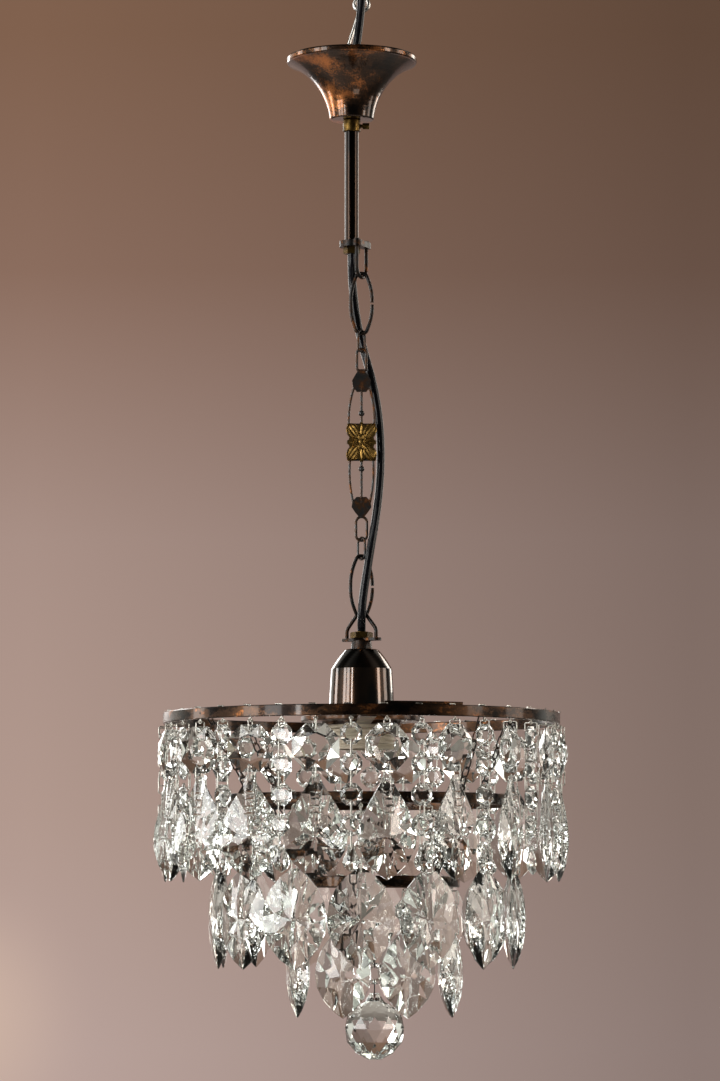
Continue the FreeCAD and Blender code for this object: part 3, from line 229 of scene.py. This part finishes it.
# ---------------------------------------------------------------- materials
class Maker:
    """Short names for the few node set-ups that the finishes share."""

    def __init__(self, name):
        self.material = bpy.data.materials.new(name)
        self.material.use_nodes = True
        self.tree = self.material.node_tree
        self.shader = self.tree.nodes["Principled BSDF"]
        self.place = self.node("ShaderNodeTexCoord").outputs["Object"]

    def node(self, kind, **values):
        made = self.tree.nodes.new(kind)
        for key, value in values.items():
            if hasattr(made, key):
                setattr(made, key, value)
            else:
                made.inputs[key.replace("_", " ").title()].default_value = value
        return made

    def link(self, source, target):
        self.tree.links.new(source, target)

    def set(self, **values):
        for key, value in values.items():
            self.shader.inputs[key.replace("_", " ").title().replace("Ior", "IOR")].default_value = value
        return self

    def stretched(self, scale):
        mapping = self.node("ShaderNodeMapping")
        mapping.inputs["Scale"].default_value = scale
        self.link(self.place, mapping.inputs["Vector"])
        return mapping.outputs["Vector"]

    def noise(self, scale, detail=4.0, roughness=0.55, stretch=None):
        made = self.node("ShaderNodeTexNoise", scale=scale, detail=detail, roughness=roughness)
        self.link(self.stretched(stretch) if stretch else self.place, made.inputs["Vector"])
        return made.outputs["Fac"]

    def ramp(self, source, stops):
        made = self.node("ShaderNodeValToRGB")
        ramp = made.color_ramp
        while len(ramp.elements) < len(stops):
            ramp.elements.new(0.5)
        for element, (at, colour) in zip(ramp.elements, stops):
            element.position = at
            element.color = (*colour, 1.0) if len(colour) == 3 else colour
        self.link(source, made.inputs["Fac"])
        return made.outputs["Color"]

    def span(self, source, low, high, start=0.3, end=0.7, kind="LINEAR"):
        """Maps start..end to low..high; the usual start and end suit a noise texture."""
        made = self.node("ShaderNodeMapRange", interpolation_type=kind)
        for label, value in (("From Min", start), ("From Max", end), ("To Min", low), ("To Max", high)):
            made.inputs[label].default_value = value
        self.link(source, made.inputs["Value"])
        return made.outputs["Result"]

    def blend(self, amount, first, second, mode="MIX"):
        made = self.node("ShaderNodeMix", data_type="RGBA", blend_type=mode)
        sockets = (made.inputs["Factor"], made.inputs[6], made.inputs[7])
        for socket, value in zip(sockets, (amount, first, second)):
            if isinstance(value, bpy.types.NodeSocket):
                self.link(value, socket)
            else:
                socket.default_value = value if isinstance(value, float) else (*value, 1.0)
        return made.outputs[2]

    def bump(self, height, depth, strength=0.6):
        made = self.node("ShaderNodeBump")
        made.inputs["Strength"].default_value = strength
        made.inputs["Distance"].default_value = depth
        self.link(height, made.inputs["Height"])
        self.link(made.outputs["Normal"], self.shader.inputs["Normal"])

    def colour(self, source):
        self.link(source, self.shader.inputs["Base Color"])

    def rough(self, source):
        self.link(source, self.shader.inputs["Roughness"])


def patinated_bronze(name, worn=0.5, stretch=(1, 1, 1), scale=55.0, gloss=(0.20, 0.38), coat=0.3,
                     lift=1.0):
    """Dark lacquered bronze with copper patches where it has been rubbed; lift scales its colours."""
    tones = settings(COLOURS)
    make = Maker(name).set(metallic=1.0, coat_weight=coat, coat_roughness=0.07)
    broad = make.noise(scale, 6.0, 0.62, stretch)
    fine = make.noise(900.0, 5.0, 0.6)
    clouds = make.blend(0.22, broad, fine)
    dark, brown, copper = (Vector(value) * lift
                           for value in (tones.patina_dark, tones.patina_brown, tones.patina_copper))
    base = make.ramp(clouds, [(0.42, dark), (0.51, brown), (0.68 - 0.14 * worn, brown),
                              (0.80 - 0.16 * worn, copper)])
    specks = make.ramp(make.noise(2600.0, 2.0), [(0.60, (0, 0, 0)), (0.72, (1, 1, 1))])
    make.colour(make.blend(specks, base, tuple(tones.patina_dark)))
    make.rough(make.span(broad, *gloss))
    make.bump(fine, 0.00006, 0.25)
    return make.material


def blackened(name, lift=1.0):
    """Blackened steel wire, brown where it rubs."""
    make = Maker(name).set(metallic=0.9)
    tones = settings(COLOURS)
    patch = make.noise(220.0, 5.0)
    make.colour(make.ramp(patch, [(0.42, [0.022 * lift] * 3),
                                  (0.60, [c * 0.55 * lift for c in tones.patina_brown]),
                                  (0.80, [c * 0.6 for c in tones.patina_copper])]))
    make.rough(make.span(patch, 0.30, 0.48))
    make.bump(make.noise(3000.0, 3.0), 0.00006, 0.4)
    return make.material


def brass(name, age):
    """Brass with dark tarnish in clouds; age runs from 0, freshly gilded, to 1, antique."""
    make = Maker(name).set(metallic=1.0)
    gilt = Vector(settings(COLOURS).brass) * (1.0 - 0.45 * age)
    clouds = make.noise(260.0, 6.0, 0.6)
    dull, dark = gilt * (1 - 0.55 * age), gilt * (0.42 - 0.32 * age)
    make.colour(make.ramp(clouds, [(0.34, dark), (0.50 + 0.08 * age, dull), (0.74, gilt)]))
    make.rough(make.span(clouds, 0.42, 0.24))
    make.bump(make.noise(2400.0, 4.0), 0.0001, 0.5)
    return make.material


def bright_wire(name, tint):
    make = Maker(name).set(metallic=1.0)
    streak = make.noise(500.0, 3.0, 0.5, (1, 1, 0.2))
    make.colour(make.ramp(streak, [(0.35, [c * 0.7 for c in tint]), (0.7, tint)]))
    make.rough(make.span(streak, 0.18, 0.36))
    return make.material


def crystal(name):
    """Lead crystal: clear, with the faintest cloud of tint and a trace of polish marks."""
    make = Maker(name).set(transmission_weight=1.0, ior=1.56, metallic=0.0)
    tint = Vector(settings(COLOURS).glass)
    cloud = make.noise(38.0, 2.0)
    make.colour(make.ramp(cloud, [(0.35, tint * 0.97), (0.65, tint)]))
    make.rough(make.span(make.noise(1500.0, 2.0), 0.0, 0.012))
    return make.material


def sleeve(name):
    """Black woven sleeve over the flex, a little glossy."""
    make = Maker(name).set(specular_ior_level=0.22)
    weave = make.node("ShaderNodeTexWave", wave_type="BANDS", bands_direction="Z")
    weave.inputs["Scale"].default_value = 420.0
    weave.inputs["Distortion"].default_value = 3.0
    make.link(make.place, weave.inputs["Vector"])
    dust = make.noise(300.0, 4.0)
    make.colour(make.ramp(dust, [(0.4, (0.003, 0.003, 0.004)), (0.75, (0.006, 0.006, 0.008))]))
    make.rough(make.span(dust, 0.16, 0.24))
    make.bump(weave.outputs["Fac"], 0.00001, 0.06)
    return make.material


def moulded(name, colour, gloss, ribs=0.0):
    """Moulded plastic, glaze or paint; ribs counts the turns of a bump in each metre of height."""
    make = Maker(name)
    speckle = make.noise(900.0, 4.0)
    make.colour(make.ramp(speckle, [(0.3, [c * 0.9 for c in colour]), (0.7, colour)]))
    make.rough(make.span(speckle, gloss, gloss + 0.12))
    if ribs:
        rings = make.node("ShaderNodeTexWave", wave_type="BANDS", bands_direction="Z", scale=ribs)
        make.link(make.place, rings.inputs["Vector"])
        make.bump(rings.outputs["Fac"], 0.0006, 1.0)
    else:
        make.bump(make.noise(1800.0, 2.0), 0.00004, 0.3)
    return make.material


def all_materials():
    return {
        "patinated_bronze": patinated_bronze("patinated_bronze", 0.85, (1, 1, 2.5), 46.0),
        "blackened_bronze": patinated_bronze("blackened_bronze", -1.2, (1, 1, 0.12), 90.0, (0.08, 0.16),
                                             0.2, 0.35),
        "blackened_steel": blackened("blackened_steel"),
        "chain_bronze": blackened("chain_bronze", 1.5),
        "dark_brass": brass("dark_brass", 0.95),
        "antique_brass": brass("antique_brass", 0.8),
        "gilt_brass": brass("gilt_brass", 0.25),
        "nickel_wire": bright_wire("nickel_wire", (0.62, 0.60, 0.55)),
        "bright_steel": bright_wire("bright_steel", (0.66, 0.64, 0.60)),
        "crystal": crystal("crystal"),
        "black_flex": sleeve("black_flex"),
        "terminal_plastic": moulded("terminal_plastic", (0.78, 0.76, 0.70), 0.38),
        "porcelain": moulded("porcelain", (0.86, 0.84, 0.79), 0.12),
    }


# ---------------------------------------------------------------- operators
class CHANDELIER_OT_finishes(bpy.types.Operator):
    """Gives every piece of the frame the finish of its material slot"""
    bl_idname = "chandelier.finishes"
    bl_label = "Finishes"

    def execute(self, context):
        made = FINISHES
        made.update(all_materials())
        made["canopy"] = patinated_bronze("canopy_bronze", 1.25, (1, 1, 0.8), 30.0, (0.18, 0.34), 0.5, 1.25)
        made["cover"] = patinated_bronze("cover_bronze", 0.55, (1, 1, 0.45), 60.0, (0.12, 0.22), 1.0)
        made["link"] = blackened("link_bronze", 2.2)
        made["rosette"] = brass("rosette_gilt", 0.55)
        made["ribbed"] = moulded("ribbed_collar", (0.55, 0.47, 0.36), 0.35, 95.0)
        special = {"ceiling_canopy": "canopy", "holder_cover": "cover", "holder_body": "ribbed",
                   "ornate_link": "link", "upper_jump_ring": "link", "lower_jump_ring": "link"}
        for part in frame["record"]["subparts"]:
            node = frame["nodes"][part["node"]]
            node.data.materials.clear()
            node.data.materials.append(made[special.get(part["node"], part["material_slot"])])
        return {"FINISHED"}


def material(name):
    return FINISHES[name]


def spline_line(points, name):
    """Open NURBS curve through given control points."""
    curve = bpy.data.curves.new(name, "CURVE")
    curve.dimensions = "3D"
    curve.resolution_u = 14
    spline = curve.splines.new("NURBS")
    spline.points.add(len(points) - 1)
    for point, place in zip(spline.points, points):
        point.co = (*at_height(*place), 1.0)
    spline.order_u = 3
    spline.use_endpoint_u = True
    piece = bpy.data.objects.new(name, curve)
    bpy.context.collection.objects.link(piece)
    return piece


def line_points(piece):
    """The points along a curve that has no bevel, in order."""
    bpy.context.view_layer.update()
    mesh = bpy.data.meshes.new_from_object(piece.evaluated_get(bpy.context.evaluated_depsgraph_get()))
    points = [v.co.copy() for v in mesh.vertices]
    bpy.data.meshes.remove(mesh)
    return points if points[0].z > points[-1].z else points[::-1]


def tube(path, radius, name, sides=20):
    """Closed mesh tube along a path, its rings carried along without twist."""
    bm = bmesh.new()
    along = (path[1] - path[0]).normalized()
    side = along.orthogonal().normalized()
    rings = []
    for k, point in enumerate(path):
        ahead = path[min(k + 1, len(path) - 1)] - path[max(k - 1, 0)]
        turn = along.rotation_difference(ahead.normalized())
        along, side = ahead.normalized(), turn @ side
        other = along.cross(side)
        rings.append([bm.verts.new(point + (side * math.cos(2 * math.pi * i / sides)
                                            + other * math.sin(2 * math.pi * i / sides)) * radius)
                      for i in range(sides)])
    for low, high in zip(rings, rings[1:]):
        for i in range(sides):
            bm.faces.new((low[i], low[(i + 1) % sides], high[(i + 1) % sides], high[i]))
    bm.faces.new(rings[0][::-1])
    bm.faces.new(rings[-1])
    bmesh.ops.recalc_face_normals(bm, faces=bm.faces)
    mesh = bpy.data.meshes.new(name)
    bm.to_mesh(mesh)
    bm.free()
    piece = bpy.data.objects.new(name, mesh)
    bpy.context.collection.objects.link(piece)
    return piece


class CHANDELIER_OT_flex(bpy.types.Operator):
    """Lays the black flex beside the chain, in lengths split at each joint, and its free tail"""
    bl_idname = "chandelier.flex"
    bl_label = "Flex"

    def execute(self, context):
        radius = settings(SIZES).flex_diameter / 2
        guide = spline_line(FLEX_IN_CHAIN, "flex_guide")
        path = line_points(guide)
        bpy.data.objects.remove(guide)
        for k, (top, bottom, upper, lower, start, end) in enumerate(FLEX_LENGTHS):
            high, low = at_height(0, 0, top).z, at_height(0, 0, bottom).z
            inside = [p for p in path if low < p.z < high]
            stretch = [cut_at(path, high)] + inside + [cut_at(path, low)]
            piece = tube(stretch, radius, "flex_length_%d" % (k + 1))
            finish(piece, material("black_flex"), 60)
            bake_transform(piece)
            if k == 0:
                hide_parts("flex_chain")
        tail = spline_line(FLEX_TAIL, "flex_tail_cord")
        tail.data.bevel_depth = radius
        tail.data.bevel_resolution = 6
        tail.data.use_fill_caps = True
        tail.data.materials.append(material("black_flex"))
        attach(tail, "stem")
        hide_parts("flex_tail")
        return {"FINISHED"}


def cut_at(path, height):
    """The point where a falling path passes a height."""
    for above, below in zip(path, path[1:]):
        if above.z >= height >= below.z:
            return above.lerp(below, (above.z - height) / max(above.z - below.z, 1e-9))
    return path[0].copy() if height > path[0].z else path[-1].copy()


class CHANDELIER_OT_drop_chains(bpy.types.Operator):
    """Puts merged, smooth-shaded copies of the drop chains between the hoops in place of the frame's chains
    """
    bl_idname = "chandelier.drop_chains"
    bl_label = "Drop chains"

    def execute(self, context):
        for node, upper, lower in (("upper_drop_chains", "lamp", "middle_tier"),
                                   ("lower_drop_chains", "middle_tier", "bottom_tier")):
            piece = copy_of(frame["nodes"][node])
            piece.name = piece.data.name = node.replace("drop", "swinging")
            only(piece)
            bpy.ops.object.mode_set(mode="EDIT")
            bpy.ops.mesh.select_all(action="SELECT")
            bpy.ops.mesh.remove_doubles(threshold=1e-6)
            bpy.ops.object.mode_set(mode="OBJECT")
            finish(piece, material("chain_bronze"), 50)
            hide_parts(node)
            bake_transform(piece)
        return {"FINISHED"}


def wire_loop(width, height, wire, name):
    """Rounded upright wire loop in the YZ plane round the origin: a small ring, pulled apart both ways."""
    bend = 1.1 * MM
    bpy.ops.mesh.primitive_torus_add(major_radius=bend, minor_radius=wire / 2, major_segments=16,
                                     minor_segments=8, rotation=(0, math.pi / 2, 0))
    piece = settle(bpy.context.object, name)
    reach_y, reach_z = width / 2 - bend, height / 2 - bend
    push(piece, lambda p: p.y > 0, (0, reach_y, 0))
    push(piece, lambda p: p.y < 0, (0, -reach_y, 0))
    push(piece, lambda p: p.z > 0, (0, 0, reach_z))
    push(piece, lambda p: p.z < 0, (0, 0, -reach_z))
    return piece


class CHANDELIER_OT_string_clips(bpy.types.Operator):
    """Joins each bead of the lowest tier to its hoop's pin and to its almond with a wire loop"""
    bl_idname = "chandelier.string_clips"
    bl_label = "String clips"

    def execute(self, context):
        wire = settings(SIZES).clip_wire
        radius, hole_in, bead, almond_top, bead_top = 54.5, 3.0, 14.0, -138.0, -119.0
        carrier_top = -113.0
        spans = [(carrier_top, bead_top - hole_in), (bead_top - bead + hole_in, almond_top - 3.4)]
        low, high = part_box("bottom_hoop")
        centre = Matrix.Translation(((low[0] + high[0]) / 2, 0, 0))
        for k in range(8):
            azimuth = math.radians(-22.0 + 45.0 * k)
            turn = centre @ Matrix.Rotation(azimuth, 4, "Z")
            loops = []
            for top, bottom in spans:
                piece = wire_loop(8.8 * MM, (top - bottom) * MM, wire, "loop")
                place = Matrix.Translation(at_height(0, -radius, (top + bottom) / 2))
                piece.matrix_world = turn @ place
                loops.append(piece)
            joined = join(loops, "tier3_clips_%d" % (k + 1))
            finish(joined, material("nickel_wire"), 60)
            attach(joined, "tier3_string_%d" % (k + 1))
        return {"FINISHED"}


def leaf(length, width, ribs, relief, cup):
    """Ribbed leaf that points up from the origin and lies in the XZ plane, facing -Y."""
    bpy.ops.mesh.primitive_grid_add(x_subdivisions=4 * ribs, y_subdivisions=12, size=1)
    piece = bpy.context.object
    for vertex in piece.data.vertices:
        u, v = vertex.co.x * 2, vertex.co.y + 0.5
        outline = math.sin(math.pi * min(1, 0.12 + 0.86 * v)) ** 0.65 * (0.35 + 0.65 * v)
        rib = math.cos(u * ribs * math.pi) * relief * (0.3 + 0.7 * v)
        dome = cup * (1 - u * u) * math.sin(math.pi * min(1, 0.15 + 0.8 * v))
        tip = 1 - 0.10 * u * u * v
        vertex.co = (u * width / 2 * outline, -dome - rib, length * v * tip)
    only(piece)
    solid = piece.modifiers.new("wall", "SOLIDIFY")
    solid.thickness, solid.offset = 0.5 * MM, -1
    bpy.ops.object.modifier_apply(modifier="wall")
    return piece


class CHANDELIER_OT_rosettes(bpy.types.Operator):
    """Models the gilded rosette on both faces of the cast link: fans, leaves and a beaded boss"""
    bl_idname = "chandelier.rosettes"
    bl_label = "Rosettes"

    def execute(self, context):
        low, high = (Vector(corner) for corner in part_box("ornate_rosettes"))
        middle, wide, tall = (low + high) / 2, high.x - low.x, high.z - low.z
        relief, back = settings(SIZES).leaf_relief, high.y - 2.75 * MM
        parts = []
        parts.append(self.plate(wide, tall))
        for k in range(8):
            corner = k % 2
            reach = (math.hypot(wide, tall) * 0.435) if corner else (tall if k % 4 == 0 else wide) * 0.47
            fan = leaf(reach, (13.0 if corner else 10.0) * MM, 4 if corner else 3, relief, 1.1 * MM)
            tilt = math.atan2(wide, tall) if corner else 0
            heading = {0: 0, 1: tilt, 2: math.pi / 2, 3: math.pi - tilt, 4: math.pi, 5: math.pi + tilt,
                       6: 1.5 * math.pi, 7: -tilt}[k]
            lift = Matrix.Translation((0, -0.5 * MM * corner, 0))
            fan.matrix_world = lift @ Matrix.Rotation(heading, 4, "Y")
            parts.append(fan)
        for k in range(8):
            petal = leaf(6.6 * MM, 5.0 * MM, 2, relief, 0.9 * MM)
            heading = math.radians(45 * k + 22.5)
            petal.matrix_world = Matrix.Translation((0, -1.3 * MM, 0)) @ Matrix.Rotation(heading, 4, "Y")
            parts.append(petal)
        parts += self.boss()
        front = join(parts, "rosette_front")
        front.matrix_world = Matrix.Translation((middle.x, -back, middle.z))
        settle(front, "rosette_front")
        rear = copy_of(front, Matrix.Rotation(math.pi, 4, "Z"))
        settle(rear, "rosette_back")
        for piece in (front, rear):
            finish(piece, material("rosette"), 40)
            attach(piece, "ornate_link")
        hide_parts("ornate_rosettes")
        return {"FINISHED"}

    def plate(self, wide, tall):
        """Wavy plate that carries the leaves."""
        bpy.ops.mesh.primitive_circle_add(vertices=96, radius=1, fill_type="TRIFAN",
                                          rotation=(math.pi / 2, 0, 0))
        plate = bpy.context.object
        only(plate)
        bpy.ops.object.transform_apply(location=True, rotation=True, scale=True)
        for vertex in plate.data.vertices:
            a = math.atan2(vertex.co.x, vertex.co.z)
            if vertex.co.length > 0.5:
                square = 1 / max(abs(math.sin(a)), abs(math.cos(a)))
                wave = 0.86 + 0.09 * math.cos(8 * a) + 0.035 * math.cos(24 * a)
                reach = (1 + (square - 1) * 0.35) * wave
                vertex.co = (math.sin(a) * reach * wide * 0.47, -0.4 * MM, math.cos(a) * reach * tall * 0.47)
            else:
                vertex.co.y = -0.4 * MM
        solid = plate.modifiers.new("wall", "SOLIDIFY")
        solid.thickness, solid.offset = 0.8 * MM, 0
        bpy.ops.object.modifier_apply(modifier="wall")
        return plate

    def boss(self):
        bpy.ops.mesh.primitive_uv_sphere_add(segments=24, ring_count=12, radius=2.3 * MM)
        dome = bpy.context.object
        dome.scale = (1, 0.55, 1)
        dome.location = (0, -1.7 * MM, 0)
        beads = [dome]
        for k in range(12):
            a = 2 * math.pi * k / 12
            place = (3.0 * MM * math.sin(a), -1.75 * MM, 3.0 * MM * math.cos(a))
            bpy.ops.mesh.primitive_uv_sphere_add(segments=10, ring_count=6, radius=0.62 * MM, location=place)
            beads.append(bpy.context.object)
        return beads


class CHANDELIER_OT_stage(bpy.types.Operator):
    """Builds the wall, which glows with painted light and shade, the pale floor, the windows and the camera
    """
    bl_idname = "chandelier.stage"
    bl_label = "Studio"

    def execute(self, context):
        studio = settings(STUDIO)
        self.wall(studio)
        self.windows(studio)
        self.world()
        camera = bpy.data.cameras.new("camera")
        camera.lens, camera.sensor_width, camera.sensor_fit = studio.lens, 36.0, "AUTO"
        camera.clip_end = 50
        eye = bpy.data.objects.new("camera", camera)
        eye.location = (-0.001, -studio.camera_distance, -studio.camera_drop)
        eye.rotation_euler = (math.pi / 2 + studio.camera_tilt, 0, 0)
        context.collection.objects.link(eye)
        context.scene.camera = eye
        context.scene.view_settings.view_transform = "Standard"
        return {"FINISHED"}

    def wall(self, studio):
        bpy.ops.mesh.primitive_plane_add(size=1, location=(0, studio.wall_back, 0.4),
                                         rotation=(math.pi / 2, 0, 0))
        wall = bpy.context.object
        wall.scale = (3.4, 3.6, 1)
        settle(wall, "backdrop_wall")
        # The wall is not lit by the lamps: it glows, and its emission paints the light and shade on it,
        # brighter towards the bottom and darker towards the top
        make = Maker("wall_painted_light").set(roughness=0.95)
        place = make.node("ShaderNodeSeparateXYZ")
        make.link(make.place, place.inputs[0])
        rise = make.span(place.outputs["Z"], 0.0, 1.0, -0.80, 0.625)
        painted_height_light = make.ramp(rise, [(0.0, (0.400, 0.296, 0.266)), (0.23, (0.355, 0.252, 0.215)),
                                (0.495, (0.314, 0.220, 0.188)), (0.762, (0.203, 0.119, 0.086)),
                                (1.0, (0.170, 0.092, 0.057))])
        # painted light: the wall's colour is scaled brighter on the left and darker on the right
        scale = make.node("ShaderNodeVectorMath", operation="SCALE")
        make.link(painted_height_light, scale.inputs[0])
        make.link(make.span(place.outputs["X"], 1.22, 0.63, -0.46, 0.46), scale.inputs["Scale"])
        # painted pool of light: the wall glows a paler colour within 0.24 m of a point low on its left
        away = make.node("ShaderNodeVectorMath", operation="DISTANCE")
        make.link(make.place, away.inputs[0])
        away.inputs[1].default_value = (-0.58, studio.wall_back, -0.76)
        painted_glow_mask = make.span(away.outputs["Value"], 1.0, 0.0, 0.0, 0.24, "SMOOTHERSTEP")
        lit = make.blend(painted_glow_mask, scale.outputs[0], (0.60, 0.44, 0.36))
        # the emission alone gives the wall its colour with its painted light and shade; the base colour is
        # nearly black
        make.link(lit, make.shader.inputs["Emission Color"])
        make.shader.inputs["Emission Strength"].default_value = 1.0
        make.shader.inputs["Base Color"].default_value = (0.01, 0.008, 0.007, 1)
        wall.data.materials.append(make.material)
        bpy.ops.mesh.primitive_plane_add(size=12, location=(0, 0, CAD_BOX[0][2] - 0.9))
        floor = settle(bpy.context.object, "floor")
        pale = moulded("pale_floor", (0.62, 0.58, 0.54), 0.7)
        floor.data.materials.append(pale)

    def pane(self, name, azimuth, distance, height, size, power, tint=(1, 1, 1)):
        """Area light that faces the lamp from an azimuth counted from the front towards +X."""
        light = bpy.data.lights.new(name, "AREA")
        light.shape, light.size, light.size_y = "RECTANGLE", size[0], size[1]
        light.energy, light.color = power, tint
        piece = bpy.data.objects.new(name, light)
        a = math.radians(azimuth)
        piece.location = (distance * math.sin(a), -distance * math.cos(a), height)
        aim = Vector((0, 0, -0.45)) - piece.location
        piece.rotation_euler = aim.to_track_quat("-Z", "Y").to_euler()
        bpy.context.collection.objects.link(piece)

    def windows(self, studio):
        """Cool panes to the left, with one narrow and bright, and warmer panes to the right and below."""
        for azimuth, height, size, share in WINDOWS:
            tint = (1.0, 0.99, 0.97) if azimuth < 0 else (1.0, 0.90, 0.80)
            self.pane("window_%d_%d" % (azimuth, height * 100), azimuth, WINDOW_DISTANCE, height, size,
                      studio.window_power * share * size[0] * size[1], tint)

    def world(self):
        """The room as the glass sees it: dim walls, dark in front, with bright openings at some headings."""
        world = bpy.data.worlds.new("room")
        world.use_nodes = True
        tree = world.node_tree
        new, link = tree.nodes.new, tree.links.new
        split = new("ShaderNodeSeparateXYZ")
        link(new("ShaderNodeTexCoord").outputs["Generated"], split.inputs[0])

        def ramp(source, low, high, stops):
            """Colour ramp over the range low..high of a source."""
            span = new("ShaderNodeMapRange")
            span.inputs["From Min"].default_value, span.inputs["From Max"].default_value = low, high
            link(source, span.inputs["Value"])
            made = new("ShaderNodeValToRGB")
            link(span.outputs["Result"], made.inputs["Fac"])
            while len(made.color_ramp.elements) < len(stops):
                made.color_ramp.elements.new(0.5)
            for element, (at, colour) in zip(made.color_ramp.elements, stops):
                element.position, element.color = at, (*colour, 1)
            return made.outputs["Color"]

        heading = new("ShaderNodeMath")
        heading.operation = "ARCTAN2"
        link(split.outputs["X"], heading.inputs[0])
        link(split.outputs["Y"], heading.inputs[1])
        height = ramp(split.outputs["Z"], -1, 1, [(0.0, (0.34, 0.33, 0.29)), (0.40, (0.40, 0.39, 0.35)),
                                                  (0.60, (0.30, 0.29, 0.26)), (0.95, (0.10, 0.095, 0.085))])
        openings = ramp(heading.outputs[0], -math.pi, math.pi,
                        [((azimuth + 180) / 360, [share] * 3) for azimuth, share in ROOM])
        dim = new("ShaderNodeVectorMath")
        dim.operation = "MULTIPLY"
        link(height, dim.inputs[0])
        link(openings, dim.inputs[1])
        link(dim.outputs[0], tree.nodes["Background"].inputs["Color"])
        bpy.context.scene.world = world
        cycles = bpy.context.scene.cycles
        cycles.max_bounces, cycles.transmission_bounces, cycles.glossy_bounces = 18, 18, 8


class CHANDELIER_PT_panel(bpy.types.Panel):
    """Lists the settings and the operators in the order they run"""
    bl_idname = "CHANDELIER_PT_panel"
    bl_label = "Chandelier"
    bl_space_type = "VIEW_3D"
    bl_region_type = "UI"
    bl_category = "Chandelier"

    def draw(self, context):
        for name in (SIZES, COLOURS, STUDIO):
            group = getattr(context.scene, name)
            for key in group.__annotations__:
                self.layout.prop(group, key)
        for operator in OPERATORS:
            self.layout.operator(operator.bl_idname)


GROUPS = {SIZES: ChandelierSizes, COLOURS: ChandelierColours, STUDIO: ChandelierStudio}
OPERATORS = (CHANDELIER_OT_finishes, CHANDELIER_OT_flex, CHANDELIER_OT_drop_chains,
             CHANDELIER_OT_string_clips, CHANDELIER_OT_rosettes, CHANDELIER_OT_stage)


def register():
    for cls in (*GROUPS.values(), *OPERATORS, CHANDELIER_PT_panel):
        bpy.utils.register_class(cls)
    for name, cls in GROUPS.items():
        setattr(bpy.types.Scene, name, bpy.props.PointerProperty(type=cls))


def unregister():
    for name in GROUPS:
        delattr(bpy.types.Scene, name)
    for cls in (CHANDELIER_PT_panel, *reversed(OPERATORS), *reversed(list(GROUPS.values()))):
        bpy.utils.unregister_class(cls)


def main():
    register()
    deselect()
    bpy.ops.chandelier.finishes()
    bpy.ops.chandelier.flex()
    bpy.ops.chandelier.drop_chains()
    bpy.ops.chandelier.string_clips()
    bpy.ops.chandelier.rosettes()
    bpy.ops.chandelier.stage()


if __name__ == "__main__":
    main()
